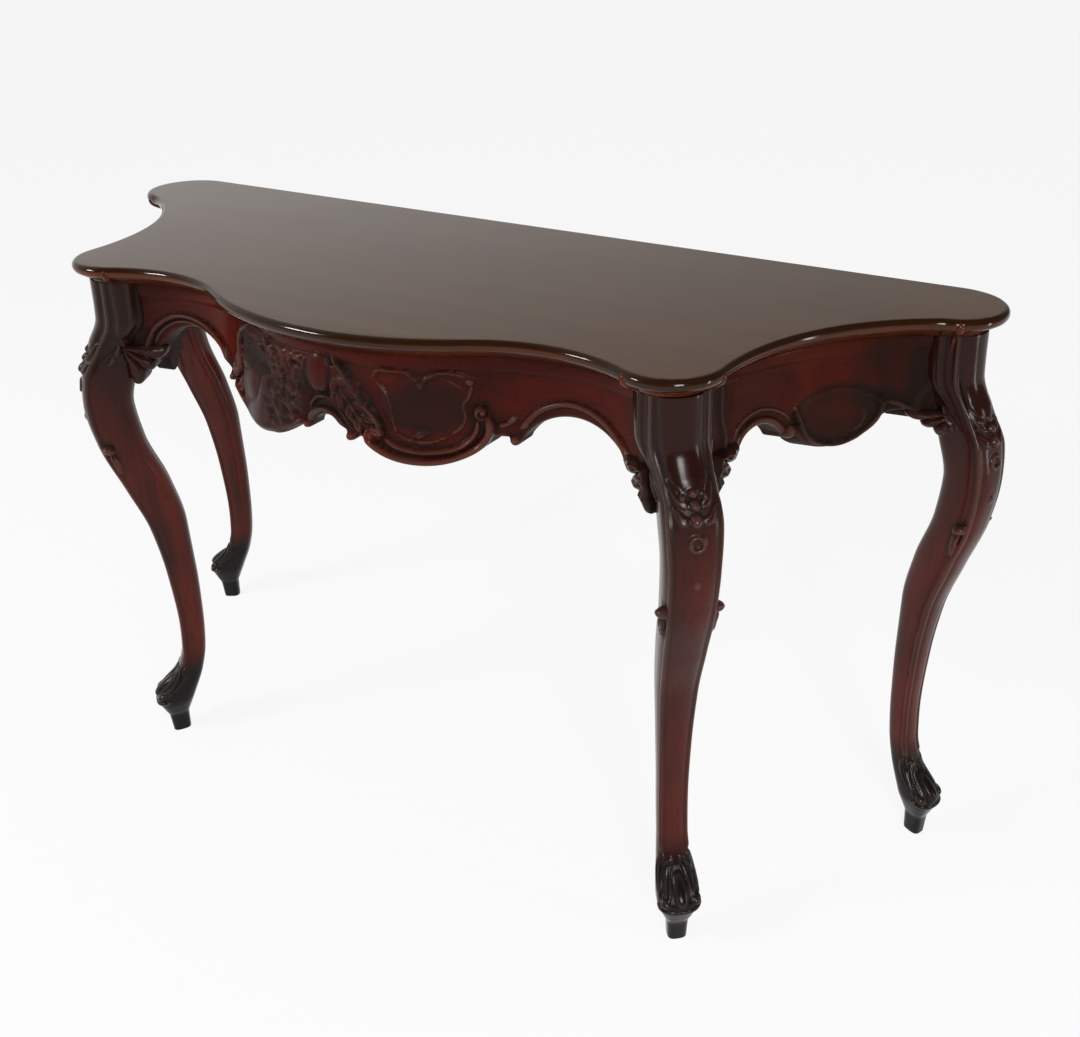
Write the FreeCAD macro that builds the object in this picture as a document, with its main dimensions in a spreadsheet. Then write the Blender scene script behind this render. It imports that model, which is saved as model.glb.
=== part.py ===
import FreeCAD, Part
import math
import os

import Sketcher

# A carved pier table: a shaped top on four cabriole legs, with a serpentine front apron,
# hollowed side aprons and a straight back rail. Millimetres, +X to the right, -Y to the
# front, +Z up. The origin lies on the floor, under the middle of the top.

DOCUMENT = FreeCAD.newDocument("pier_table")

SIZES = {
    # the top
    "table_height": 780,
    "top_width": 1366,
    "top_depth": 500,
    "top_thickness": 15,
    "nose_radius": 7,
    # plan of the top: round lobes at the corners, hollows between them, a bow in front
    "front_lobe_radius": 62,
    "front_lobe_spread": 407,
    "front_lobe_setback": 391,
    "back_lobe_radius": 68,
    "side_hollow_radius": 289,
    "front_hollow_radius": 192,
    "front_hollow_spread": 285,
    # moulding under the edge of the top
    "moulding_height": 11,
    "moulding_setback": 9,
    "moulding_cove": 11,
    # aprons and back rail
    "apron_setback": 38,
    "apron_thickness": 24,
    "back_rail_setback": 25,
    "back_rail_thickness": 22,
    "back_rail_depth": 104,
    # lower edge of the front apron, from left to right
    "edge_drop": 125,
    "left_arch_start": -364,
    "left_arch_end": -236,
    "left_arch_rise": 54,
    "shell_start": -228,
    "shell_low": -174,
    "shell_end": -48,
    "shell_depth": 43,
    "shell_steep_bulge": 9,
    "shell_long_bulge": 13,
    "small_arch_start": -38,
    "small_arch_end": 16,
    "small_arch_rise": 16,
    "cartouche_start": 32,
    "cartouche_end": 184,
    "cartouche_depth": 28,
    "step_rise": 8,
    "step_start": 187,
    "step_end": 205,
    "right_arch_start": 221,
    "right_arch_end": 362,
    "right_arch_rise": 39,
    "nub_depth": 6,
    # lower edge of a side apron, measured forward from the back edge
    "side_arch_start": 297,
    "side_arch_end": 227,
    "side_arch_rise": 23,
    "side_drop_start": 209,
    "side_drop_end": 129,
    "side_drop_depth": 29,
    "side_back_arch_end": 103,
    "side_back_arch_rise": 12,
    # mortise and tenon joints: each tenon's root lies this far behind the end of its rail
    "tenon_thickness": 10,
    "tenon_height": 50,
    "tenon_length": 48,
    "tenon_drop": 20,
    "front_tenon_root": 54,
    "side_tenon_root": 62,
    "back_tenon_root": 66,
    "rail_tenon_root": 48,
    "joint_clearance": 0.2,
    # where the legs stand under their lobes, and how far they turn from the line of the top
    "front_leg_outward": 16,
    "front_leg_forward": 2,
    "front_leg_turn": 50,
    "back_leg_outward": 18,
    "back_leg_forward": 1,
    "back_leg_turn": 24,
    "back_leg_slimming": 9,
    # sections of a leg: how far its outer and inner faces lie from the leg's line
    "head_out": 27,
    "head_in": -36,
    "head_width": 68,
    "stile_drop": 65,
    "stile_out": 33,
    "stile_in": -34,
    "stile_width": 68,
    "swell_drop": 110,
    "swell_out": 58,
    "swell_in": -22,
    "swell_width": 70,
    "knee_drop": 146,
    "knee_out": 74,
    "knee_in": -4,
    "knee_width": 72,
    "bend_drop": 197,
    "bend_out": 79,
    "bend_in": 10,
    "bend_width": 68,
    "calf_share": 0.873,
    "calf_out": 71,
    "calf_in": 5,
    "calf_width": 64,
    "taper_share": 0.694,
    "taper_out": 47,
    "taper_in": -17,
    "taper_width": 58,
    "shin_share": 0.526,
    "shin_out": 26,
    "shin_in": -28,
    "shin_width": 51,
    "waist_share": 0.335,
    "waist_out": 16,
    "waist_in": -28,
    "waist_width": 44,
    "shank_share": 0.144,
    "shank_out": 13,
    "shank_in": -25,
    "shank_width": 40,
    "ankle_height": 150,
    "ankle_out": 17,
    "ankle_in": -19,
    "ankle_width": 40,
    "instep_height": 110,
    "instep_out": 31,
    "instep_in": -9,
    "instep_width": 45,
    "toe_height": 66,
    "toe_out": 69,
    "toe_in": 10,
    "toe_width": 58,
    "sole_height": 42,
    "sole_out": 62,
    "sole_in": 21,
    "sole_width": 42,
    "peg_height": 30,
    "peg_out": 57,
    "peg_in": 26,
    "peg_width": 31,
    "foot_out": 55,
    "foot_in": 28,
    "foot_width": 27,
    # scrolled brackets glued beside the knees
    "bracket_thickness": 40,
    "bracket_inset": 40,
    "bracket_fall": 42,
    "bracket_bulge": 4,
    "bracket_front_reach": 40,
    "bracket_side_reach": 42,
    "bracket_side_setback": 330,
    "bracket_back_reach": 38,
    "bracket_back_setback": 92,
    "bracket_tail": 40,
    # carvings glued on the aprons
    "shell_relief": 12,
    "shell_top_drop": 24,
    "shell_top_start": -190,
    "shell_top_end": -8,
    "reserve_relief": 5,
    "reserve_start": 62,
    "reserve_end": 170,
    "reserve_top_drop": 41,
    "reserve_bottom_drop": 120,
    "scroll_relief": 10,
    "scroll_width": 14,
    "scroll_start": 60,
    "scroll_rise": 44,
    "leaf_relief": 14,
    "leaf_width": 40,
    "leaf_top": 8,
    "leaf_top_drop": 37,
    "leaf_bottom": 56,
    "leaf_bottom_drop": 115,
    "side_carving_relief": 9,
    "side_carving_top_drop": 92,
    # inner blocks, bearers and screws
    "front_block_reach": 330,
    "front_block_setback": 300,
    "front_block_slope": 56,
    "back_block_reach": 545,
    "block_thickness": 22,
    "bearer_spread": 190,
    "bearer_width": 45,
    "glue_block_length": 60,
    "glue_block_side": 20,
    "inner_glue_block_spread": 75,
    "outer_glue_block_spread": 345,
    "screw_diameter": 5,
    "screw_length": 32,
    "screw_head_diameter": 9,
    "screw_head_height": 3,
    "bearer_screw_spacing": 200,
}

# Places that follow from the sizes above, as formulas of a second sheet.
PLACES = {
    "half_depth": "Sizes.top_depth / 2",
    "board_under": "Sizes.table_height - Sizes.top_thickness",
    "moulding_under": "Layout.board_under - Sizes.moulding_height",
    "front_lobe_y": "Layout.half_depth - Sizes.front_lobe_setback",
    "back_lobe_x": "Sizes.top_width / 2 - Sizes.back_lobe_radius",
    "back_lobe_y": "Layout.half_depth - Sizes.back_lobe_radius",
    "side_centre_x": "Sizes.front_lobe_spread + Sizes.front_lobe_radius + Sizes.side_hollow_radius",
    "lobe_pair": "Sizes.front_hollow_radius + Sizes.front_lobe_radius",
    "hollow_y": "Layout.front_lobe_y - sqrt(Layout.lobe_pair ^ 2"
                " - (Sizes.front_lobe_spread - Sizes.front_hollow_spread) ^ 2)",
    "bow_rise": "-Layout.half_depth - Layout.hollow_y",
    "bow_radius": "(Sizes.front_hollow_spread ^ 2 + Layout.bow_rise ^ 2"
                  " - Sizes.front_hollow_radius ^ 2)"
                  " / (2 * (Sizes.front_hollow_radius - Layout.bow_rise))",
    "bow_y": "Layout.bow_radius - Layout.half_depth",
    "bow_pair": "Layout.bow_radius + Sizes.front_hollow_radius",
    "apron_back": "Sizes.apron_setback + Sizes.apron_thickness",
    "apron_middle": "Sizes.apron_setback + Sizes.apron_thickness / 2",
    "glue_face": "Sizes.apron_setback - Sizes.joint_clearance",
    "room_inset": "Layout.apron_back + Sizes.joint_clearance",
    "cove_inset": "Sizes.moulding_setback + Sizes.moulding_cove",
    "edge_height": "Layout.board_under - Sizes.edge_drop",
    "front_heading": "-asin((Sizes.front_lobe_spread - Sizes.front_hollow_spread)"
                     " / Layout.lobe_pair) / 1 deg",
    "block_under": "Layout.board_under - Sizes.block_thickness",
    "front_leg_x": "Sizes.front_lobe_spread + Sizes.front_leg_outward",
    "front_leg_y": "Layout.front_lobe_y - Sizes.front_leg_forward",
    "back_leg_x": "Layout.back_lobe_x + Sizes.back_leg_outward",
    "back_leg_y": "Layout.back_lobe_y - Sizes.back_leg_forward",
    "bend_height": "Layout.board_under - Sizes.bend_drop",
    "sweep": "Layout.bend_height - Sizes.ankle_height",
    "back_rail_y": "Layout.half_depth - Sizes.back_rail_setback - Sizes.back_rail_thickness",
    "rail_middle_y": "Layout.back_rail_y + Sizes.back_rail_thickness / 2",
    "tenon_under": "Layout.board_under - Sizes.tenon_drop - Sizes.tenon_height",
    "drop_radius": "((Sizes.cartouche_end - Sizes.cartouche_start) ^ 2 / 4"
                   " + Sizes.cartouche_depth ^ 2) / (2 * Sizes.cartouche_depth)",
    "drop_x": "(Sizes.cartouche_start + Sizes.cartouche_end) / 2",
    "drop_z": "Layout.edge_height - Sizes.cartouche_depth + Layout.drop_radius",
    "shank_length": "Sizes.screw_length - Sizes.screw_head_height",
}


def make_sheet(label, cells):
    """Make a sheet whose cells are plain numbers or formulas, each with its alias."""
    sheet = DOCUMENT.addObject("Spreadsheet::Sheet", label)
    for row, (alias, content) in enumerate(cells.items(), start=1):
        text = f"={content}" if isinstance(content, str) else str(content)
        sheet.set(f"A{row}", alias)
        sheet.set(f"B{row}", text)
        sheet.setAlias(f"B{row}", alias)
    DOCUMENT.recompute()
    return sheet


SHEET = make_sheet("Sizes", SIZES)
LAYOUT = make_sheet("Layout", PLACES)


def value(expression):
    """Return the number that an expression of the sheets gives now."""
    return float(SHEET.evalExpression(expression))


def negative(expression):
    """Return the expression with its sign turned."""
    return f"-({expression})"


# ---------------------------------------------------------------- plan of the top

def lobe_to_hollow(inset):
    """Meeting point of the right front lobe and hollow, set in from the edge of the top."""
    share = f"(Sizes.front_lobe_radius - ({inset})) / Layout.lobe_pair"
    return (f"Sizes.front_lobe_spread + (Sizes.front_hollow_spread - Sizes.front_lobe_spread) * {share}",
            f"Layout.front_lobe_y + (Layout.hollow_y - Layout.front_lobe_y) * {share}")


def hollow_to_bow(inset):
    """Meeting point of the right front hollow and the bow."""
    share = f"(Layout.bow_radius - ({inset})) / Layout.bow_pair"
    return (f"Sizes.front_hollow_spread * {share}",
            f"Layout.bow_y + (Layout.hollow_y - Layout.bow_y) * {share}")


def lobe_to_side(inset):
    """Meeting point of the right front lobe and the side hollow."""
    return (f"Sizes.front_lobe_spread + Sizes.front_lobe_radius - ({inset})",
            "Layout.front_lobe_y")


def side_at(x, inset):
    """Point of the right side hollow at a given x."""
    rise = f"sqrt((Sizes.side_hollow_radius + ({inset})) ^ 2 - (Layout.side_centre_x - ({x})) ^ 2)"
    return (x, f"Layout.front_lobe_y + {rise}")


def side_to_back_lobe(inset):
    """Meeting point of the right side hollow and the back lobe."""
    dx = "(Layout.back_lobe_x - Layout.side_centre_x)"
    dy = "(Layout.back_lobe_y - Layout.front_lobe_y)"
    gap = f"sqrt({dx} ^ 2 + {dy} ^ 2)"
    hollow = f"(Sizes.side_hollow_radius + ({inset}))"
    lobe = f"(Sizes.back_lobe_radius - ({inset}))"
    along = f"(({hollow} ^ 2 - {lobe} ^ 2 + {gap} ^ 2) / (2 * {gap}))"
    across = f"sqrt({hollow} ^ 2 - {along} ^ 2)"
    return (f"Layout.side_centre_x + ({along} * {dx} - {across} * {dy}) / {gap}",
            f"Layout.front_lobe_y + ({along} * {dy} + {across} * {dx}) / {gap}")


def mirrored(point):
    """Return a plan point mirrored to the left half of the table."""
    return (negative(point[0]), point[1])


LEFT_TURN = 1
RIGHT_TURN = -1


def by_radius(radius, turn):
    """Describe an arc by its radius."""
    return ("radius", radius, turn)


def by_rise(rise, turn):
    """Describe an arc by how far it stands off its chord."""
    return ("rise", rise, turn)


def front_run(inset, leftwards):
    """Points and arcs along the front, from one front lobe to the other."""
    right = [lobe_to_hollow(inset), hollow_to_bow(inset)]
    left = [mirrored(point) for point in reversed(right)]
    hollow = f"Sizes.front_hollow_radius + ({inset})"
    bow = f"Layout.bow_radius - ({inset})"
    if leftwards:
        arcs = [by_radius(hollow, LEFT_TURN), by_radius(bow, RIGHT_TURN), by_radius(hollow, LEFT_TURN)]
        return right + left, arcs
    arcs = [by_radius(hollow, RIGHT_TURN), by_radius(bow, LEFT_TURN), by_radius(hollow, RIGHT_TURN)]
    return [mirrored(point) for point in right + left], arcs


# ---------------------------------------------------------------- bodies and sketches

def new_body(name):
    """Make an empty body."""
    body = DOCUMENT.addObject("PartDesign::Body", name)
    body.Label = name
    return body


def base_plane(body, role):
    """Return one of the body's own origin planes."""
    return next(feature for feature in body.Origin.OriginFeatures if feature.Role == role)


def arc_radius(start, end, bow):
    """Return an arc's radius as an expression."""
    kind, size, _ = bow
    if kind == "radius":
        return size
    chord = f"((({end[0]}) - ({start[0]})) ^ 2 + (({end[1]}) - ({start[1]})) ^ 2)"
    return f"({chord} / 4 + ({size}) ^ 2) / (2 * ({size}))"


def edge_geometry(start, end, radius, turn):
    """Return a line, or the shorter arc of that radius that turns left or right."""
    first = FreeCAD.Vector(value(start[0]), value(start[1]), 0)
    last = FreeCAD.Vector(value(end[0]), value(end[1]), 0)
    if radius is None:
        return Part.LineSegment(first, last), first
    chord = last - first
    left = FreeCAD.Vector(-chord.y, chord.x, 0).normalize()
    size = value(radius)
    offset = math.sqrt(max(size ** 2 - chord.Length ** 2 / 4, 0))
    middle = (first + last) / 2 + left * turn * (offset - size)
    return Part.Arc(first, middle, last), first


def closed_sketch(body, name, plane, points, bows, lift="0"):
    """Draw a closed outline whose corners and arcs are bound to the sheets."""
    sketch = body.newObject("Sketcher::SketchObject", name)
    sketch.AttachmentSupport = (base_plane(body, plane), [""])
    sketch.MapMode = "FlatFace"
    sketch.setExpression("AttachmentOffset.Base.z", lift)
    ends = []
    for index, bow in enumerate(bows):
        start, end = points[index], points[(index + 1) % len(points)]
        radius = None if bow is None else arc_radius(start, end, bow)
        turn = 0 if bow is None else bow[2]
        geometry, first = edge_geometry(start, end, radius, turn)
        sketch.addGeometry(geometry, False)
        near = sketch.getPoint(index, 1).distanceToPoint(first) < 1e-6
        ends.append((1, 2) if near else (2, 1))
        for axis, content in zip("XY", start):
            place = sketch.addConstraint(
                Sketcher.Constraint(f"Distance{axis}", index, ends[index][0], value(content)))
            bind(sketch, place, f"corner_{axis.lower()}_{index}", content)
        if radius is not None:
            place = sketch.addConstraint(Sketcher.Constraint("Radius", index, value(radius)))
            bind(sketch, place, f"radius_{index}", radius)
    for index, (_, last) in enumerate(ends):
        after = (index + 1) % len(ends)
        sketch.addConstraint(Sketcher.Constraint("Coincident", index, last, after, ends[after][0]))
    return sketch


def bind(sketch, place, name, content):
    """Name a constraint and tie it to its expression."""
    sketch.renameConstraint(place, name)
    sketch.setExpression(f"Constraints.{name}", content)


def pad(body, sketch, length, both_ways=False):
    """Pad a sketch by a length of the sheets."""
    feature = body.newObject("PartDesign::Pad", f"{body.Name}_pad")
    feature.Profile = sketch
    feature.setExpression("Length", length)
    if both_ways:
        feature.SideType = "Symmetric"
    return feature


def plan_pad(name, points, bows, bottom, height):
    """Make a body from a plan outline, its bottom and its height."""
    body = new_body(name)
    sketch = closed_sketch(body, f"{name}_plan", "XY_Plane", points, bows, bottom)
    pad(body, sketch, height)
    return body


def elevation_pad(name, plane, points, bows, middle, thickness):
    """Make a body from an upright outline, drawn on XZ or YZ and padded about its middle."""
    body = new_body(name)
    sketch = closed_sketch(body, f"{name}_outline", plane, points, bows, middle)
    pad(body, sketch, thickness, both_ways=True)
    return body


# ---------------------------------------------------------------- joining and keeping pieces

PIECES = []


def keep(piece, name):
    """Name a finished sub-part and put it on the list of pieces."""
    piece.Label = name
    PIECES.append(piece)
    return piece


def boolean(kind, name, base, tool):
    """Join two objects with a Part boolean."""
    result = DOCUMENT.addObject(f"Part::{kind}", name)
    result.Base = base
    result.Tool = tool
    return result


def cut_by(name, base, tools):
    """Cut one object by several others, one after another."""
    result = base
    for index, tool in enumerate(tools):
        result = boolean("Cut", f"{name}_cut_{index}", result, tool)
    return result


def mirror_piece(source, name):
    """Mirror a right-hand piece to the left."""
    copy = DOCUMENT.addObject("Part::Mirroring", name)
    copy.Source = source
    copy.Normal = FreeCAD.Vector(1, 0, 0)
    copy.Base = FreeCAD.Vector(0, 0, 0)
    return copy


def keep_pair(source, name):
    """Keep a right-hand piece and its mirror image."""
    keep(source, f"{name}_right")
    return source, keep(mirror_piece(source, f"{name}_left_mirror"), f"{name}_left")


def gather(name, members):
    """Put several solids in one compound."""
    group = DOCUMENT.addObject("Part::Compound", name)
    group.Links = members
    return group


# ---------------------------------------------------------------- the top and its moulding

def stacked_loft(name, rings):
    """Loft a body straight through outlines given as (points, bows, height)."""
    body = new_body(name)
    sketches = [closed_sketch(body, f"{name}_ring_{number}", "XY_Plane", points, bows, height)
                for number, (points, bows, height) in enumerate(rings)]
    loft = body.newObject("PartDesign::AdditiveLoft", f"{name}_loft")
    loft.Profile = sketches[0]
    loft.Sections = sketches[1:]
    loft.Ruled = True
    return body


def back_lobe_run(inset):
    """Points of the right back lobe: its nick, its outer tip and its end at the back edge."""
    lobe = f"(Sizes.back_lobe_radius - ({inset}))"
    return [side_to_back_lobe(inset),
            (f"Layout.back_lobe_x + {lobe}", "Layout.back_lobe_y"),
            ("Layout.back_lobe_x", f"Layout.back_lobe_y + {lobe}")]


def top_outline(inset):
    """Points and arcs all round the top, set in from its edge."""
    nick, tip, back = back_lobe_run(inset)
    front_lobe = by_radius(f"Sizes.front_lobe_radius - ({inset})", LEFT_TURN)
    back_lobe = by_radius(f"Sizes.back_lobe_radius - ({inset})", LEFT_TURN)
    side = by_radius(f"Sizes.side_hollow_radius + ({inset})", RIGHT_TURN)
    left = [mirrored(point) for point in (back, tip, nick, lobe_to_side(inset))]
    front, front_arcs = front_run(inset, leftwards=False)
    points = [back] + left + front + [lobe_to_side(inset), nick, tip]
    bows = [None, back_lobe, back_lobe, side, front_lobe] + front_arcs
    return points, bows + [front_lobe, side, back_lobe, back_lobe]


def make_top():
    """The board of the top, its nose rounded over in flats."""
    steps = [-1, -0.92, -0.7, -0.38, 0, 0.38, 0.7, 0.92, 1]
    rings = []
    for step in steps:
        height = f"Layout.board_under + Sizes.top_thickness * {(1 + step) / 2}"
        inset = f"Sizes.nose_radius * {1 - math.sqrt(1 - step ** 2)}"
        points, bows = top_outline(inset)
        rings.append((points, bows, height))
    return stacked_loft("top_blank", rings)


def moulding_rings(outline):
    """Outlines of a length of moulding, coved under and straight above."""
    cove = [("Layout.cove_inset", 0), ("Layout.cove_inset - Sizes.moulding_cove * 0.15", 0.35),
            ("Layout.cove_inset - Sizes.moulding_cove * 0.55", 0.65),
            ("Sizes.moulding_setback", 0.8), ("Sizes.moulding_setback", 1)]
    rings = []
    for inset, share in cove:
        points, bows = outline(inset, "Layout.glue_face")
        rings.append((points, bows, f"Layout.moulding_under + Sizes.moulding_height * {share}"))
    return rings


def front_band(outer, inner):
    """Plan of a curved strip along the front, between two insets from the edge of the top."""
    outside, outside_arcs = front_run(outer, leftwards=False)
    inside, inside_arcs = front_run(inner, leftwards=True)
    return outside + inside, outside_arcs + [None] + inside_arcs + [None]


def side_band(outer, inner):
    """Plan of a strip along the right side, ending in the back leg."""
    points = [lobe_to_side(outer), side_at("Layout.back_leg_x", outer),
              side_at("Layout.back_leg_x", inner), lobe_to_side(inner)]
    bows = [by_radius(f"Sizes.side_hollow_radius + ({outer})", RIGHT_TURN), None,
            by_radius(f"Sizes.side_hollow_radius + ({inner})", LEFT_TURN), None]
    return points, bows


def side_moulding_band(outer, inner):
    """Plan of a strip along the right side, mitred at the nick of the back lobe."""
    points = [lobe_to_side(outer), side_to_back_lobe(outer), side_to_back_lobe(inner),
              lobe_to_side(inner)]
    return points, side_band(outer, inner)[1]


def front_corner_band(outer, inner):
    """Plan of a strip round the right front lobe."""
    points = [lobe_to_hollow(outer), lobe_to_side(outer), lobe_to_side(inner), lobe_to_hollow(inner)]
    bows = [by_radius(f"Sizes.front_lobe_radius - ({outer})", LEFT_TURN), None,
            by_radius(f"Sizes.front_lobe_radius - ({inner})", RIGHT_TURN), None]
    return points, bows


def back_corner_band(outer, inner):
    """Plan of a strip round the right back lobe."""
    outside, inside = back_lobe_run(outer), back_lobe_run(inner)
    bow_out = by_radius(f"Sizes.back_lobe_radius - ({outer})", LEFT_TURN)
    bow_in = by_radius(f"Sizes.back_lobe_radius - ({inner})", RIGHT_TURN)
    return outside + inside[::-1], [bow_out, bow_out, None, bow_in, bow_in, None]


def make_rebates():
    """The room that the mouldings take above the legs, as one cutter for each length."""
    plans = {"front": front_band, "side": side_moulding_band,
             "front_corner": front_corner_band, "back_corner": back_corner_band}
    cutters = []
    for name, plan in plans.items():
        points, bows = plan("-Sizes.apron_thickness", "Sizes.apron_setback")
        cutters.append(plan_pad(f"rebate_{name}", points, bows, "Layout.moulding_under",
                                "Sizes.moulding_height"))
    return cutters


# ---------------------------------------------------------------- legs

# name of a section, height of the section, and how square it is (0.5 is a true rectangle)
SECTIONS = [
    ("head", "Layout.board_under", 0.47),
    ("stile", "Layout.board_under - Sizes.stile_drop", 0.47),
    ("swell", "Layout.board_under - Sizes.swell_drop", 0.45),
    ("knee", "Layout.board_under - Sizes.knee_drop", 0.42),
    ("bend", "Layout.bend_height", 0.39),
    ("calf", "Sizes.ankle_height + Layout.sweep * Sizes.calf_share", 0.39),
    ("taper", "Sizes.ankle_height + Layout.sweep * Sizes.taper_share", 0.39),
    ("shin", "Sizes.ankle_height + Layout.sweep * Sizes.shin_share", 0.39),
    ("waist", "Sizes.ankle_height + Layout.sweep * Sizes.waist_share", 0.39),
    ("shank", "Sizes.ankle_height + Layout.sweep * Sizes.shank_share", 0.39),
    ("ankle", "Sizes.ankle_height", 0.39),
    ("instep", "Sizes.instep_height", 0.39),
    ("toe", "Sizes.toe_height", 0.39),
    ("sole", "Sizes.sole_height", 0.39),
    ("peg", "Sizes.peg_height", 0.40),
]


def leg_section(body, section, height, square, slimming, room):
    """Draw one rounded cross-section of a leg, its outer face towards the body's own +X."""
    out, inner = f"Sizes.{section}_out + {room}", f"Sizes.{section}_in - {room}"
    slim = f"{slimming} * Sizes.{section}_width / Sizes.knee_width"
    width = f"(Sizes.{section}_width - {slim} + 2 * {room})"
    depth = f"({out} - ({inner}))"
    middle = f"(({out}) + ({inner})) / 2"
    half_depth, half_width = f"{square} * {depth}", f"{square} * {width}"
    corners = [(f"{middle} + {x} * {half_depth}", f"{y} * {half_width}")
               for x, y in ((1, -1), (1, 1), (-1, 1), (-1, -1))]
    bulges = [f"(0.5 - {square}) * {span}" for span in (depth, width, depth, width)]
    bows = [by_rise(bulge, LEFT_TURN) for bulge in bulges]
    return closed_sketch(body, f"{body.Name}_{section}", "XY_Plane", corners, bows, height)


def make_leg_form(name, place, slimming, room):
    """Loft a right-hand leg through its sections and set its tapered peg under it."""
    spread, leg_y, turn = place
    body = new_body(name)
    sketches = [leg_section(body, section, height, square, slimming, room)
                for section, height, square in SECTIONS]
    loft = body.newObject("PartDesign::AdditiveLoft", f"{name}_loft")
    loft.Profile = sketches[0]
    loft.Sections = sketches[1:]
    foot = leg_section(body, "foot", "0", 0.40, slimming, room)
    peg_top = leg_section(body, "peg", "Sizes.peg_height", 0.40, slimming, room)
    peg = body.newObject("PartDesign::AdditiveLoft", f"{name}_peg")
    peg.Profile = foot
    peg.Sections = [peg_top]
    body.Tip = peg
    turn_about_z(body, spread, leg_y, "0", negative(turn))
    return body


# ---------------------------------------------------------------- joints

def tenon_box(name, anchor, heading, root, room):
    """Make a tenon, or with room round it its mortise, as a box that lies along a heading."""
    box = DOCUMENT.addObject("Part::Box", name)
    half = f"(Sizes.tenon_thickness / 2 + {room})"
    box.setExpression("Length", f"Sizes.tenon_length + {room}")
    box.setExpression("Width", f"2 * {half}")
    box.setExpression("Height", f"Sizes.tenon_height + 2 * {room}")
    along, across = f"cos({heading})", f"sin({heading})"
    turn_about_z(box, f"{anchor[0]} - {root} * {along} + {half} * {across}",
                 f"{anchor[1]} - {root} * {across} - {half} * {along}",
                 f"Layout.tenon_under - {room}", heading)
    return box


def turn_about_z(item, x, y, z, heading):
    """Place an object by expressions, turned about the vertical by a heading in degrees."""
    item.Placement.Rotation = FreeCAD.Rotation(FreeCAD.Vector(0, 0, 1), 1)
    item.setExpression("Placement.Base.x", x)
    item.setExpression("Placement.Base.y", y)
    item.setExpression("Placement.Base.z", z)
    item.setExpression("Placement.Rotation.Axis.x", "0")
    item.setExpression("Placement.Rotation.Axis.y", "0")
    item.setExpression("Placement.Rotation.Axis.z", "1")
    item.setExpression("Placement.Rotation.Angle", f"({heading}) * 1 deg")


def side_station(setback, inset, backwards):
    """Point and heading on the right side, at a distance from the back edge."""
    rise = f"(Layout.half_depth - {setback} - Layout.front_lobe_y)"
    reach = f"(Sizes.side_hollow_radius + {inset})"
    point = (f"Layout.side_centre_x - sqrt({reach} ^ 2 - {rise} ^ 2)",
             f"Layout.half_depth - {setback}")
    lean = f"asin({rise} / {reach}) / 1 deg"
    return point, f"90 - {lean}" if backwards else f"-90 - {lean}"


def back_leg_heading():
    """Heading of the side apron where it runs into the back leg."""
    run = "(Layout.side_centre_x - Layout.back_leg_x)"
    return f"asin({run} / (Sizes.side_hollow_radius + Layout.apron_middle)) / 1 deg"


JOINTS = {
    "front": (lobe_to_hollow("Layout.apron_middle"), "Layout.front_heading",
              "Sizes.front_tenon_root"),
    "side_front": (lobe_to_side("Layout.apron_middle"), "-90", "Sizes.side_tenon_root"),
    "side_back": (side_at("Layout.back_leg_x", "Layout.apron_middle"), back_leg_heading(),
                  "Sizes.back_tenon_root"),
    "rail": (("Layout.back_leg_x", "Layout.rail_middle_y"), "0", "Sizes.rail_tenon_root"),
}


def make_tenon(joint):
    """Make the tenon of a joint."""
    anchor, heading, root = JOINTS[joint]
    return tenon_box(f"tenon_{joint}", anchor, heading, root, "0")


def make_mortise(joint):
    """Make the cutter for the mortise of a joint."""
    anchor, heading, root = JOINTS[joint]
    return tenon_box(f"mortise_{joint}", anchor, heading, root, "Sizes.joint_clearance")


def fuse(name, members):
    """Join several objects in one solid."""
    result = DOCUMENT.addObject("Part::MultiFuse", name)
    result.Shapes = members
    return result


# ---------------------------------------------------------------- aprons and rail

def edge_point(along, below="0"):
    """Point of an elevation at the level of the aprons' lower edge, or below it."""
    return (along, f"Layout.edge_height - ({below})")


def board_point(along, drop="0"):
    """Point of an elevation at a distance below the board of the top."""
    return (along, f"Layout.board_under - ({drop})")


def from_back(setback):
    """Place along the depth of the table, given from its back edge."""
    return f"Layout.half_depth - {setback}"


SHELL_DIP = [by_rise("Sizes.shell_steep_bulge", LEFT_TURN),
             by_rise("Sizes.shell_long_bulge", LEFT_TURN)]


def front_elevation():
    """Outline of the front apron: arches, scrolled nubs and two carved drops."""
    end = "Layout.front_leg_x"
    nub = by_rise("Sizes.nub_depth", LEFT_TURN)
    points = [edge_point(negative(end)), edge_point("Sizes.left_arch_start"),
              edge_point("Sizes.left_arch_end"), edge_point("Sizes.shell_start"),
              edge_point("Sizes.shell_low", "Sizes.shell_depth"),
              edge_point("Sizes.shell_end"), edge_point("Sizes.small_arch_start"),
              edge_point("Sizes.small_arch_end"), edge_point("Sizes.cartouche_start"),
              edge_point("Sizes.cartouche_end"), edge_point("Sizes.step_start", "-Sizes.step_rise"),
              edge_point("Sizes.step_end", "-Sizes.step_rise"),
              edge_point("Sizes.right_arch_start", "-Sizes.step_rise"),
              edge_point("Sizes.right_arch_end"), edge_point(end),
              board_point(end), board_point(negative(end))]
    bows = [None, by_rise("Sizes.left_arch_rise", RIGHT_TURN), nub] + SHELL_DIP
    bows += [nub, by_rise("Sizes.small_arch_rise", RIGHT_TURN), nub,
             by_rise("Sizes.cartouche_depth", LEFT_TURN), None, None, nub,
             by_rise("Sizes.right_arch_rise", RIGHT_TURN), None, None, None, None]
    return points, bows


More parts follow.
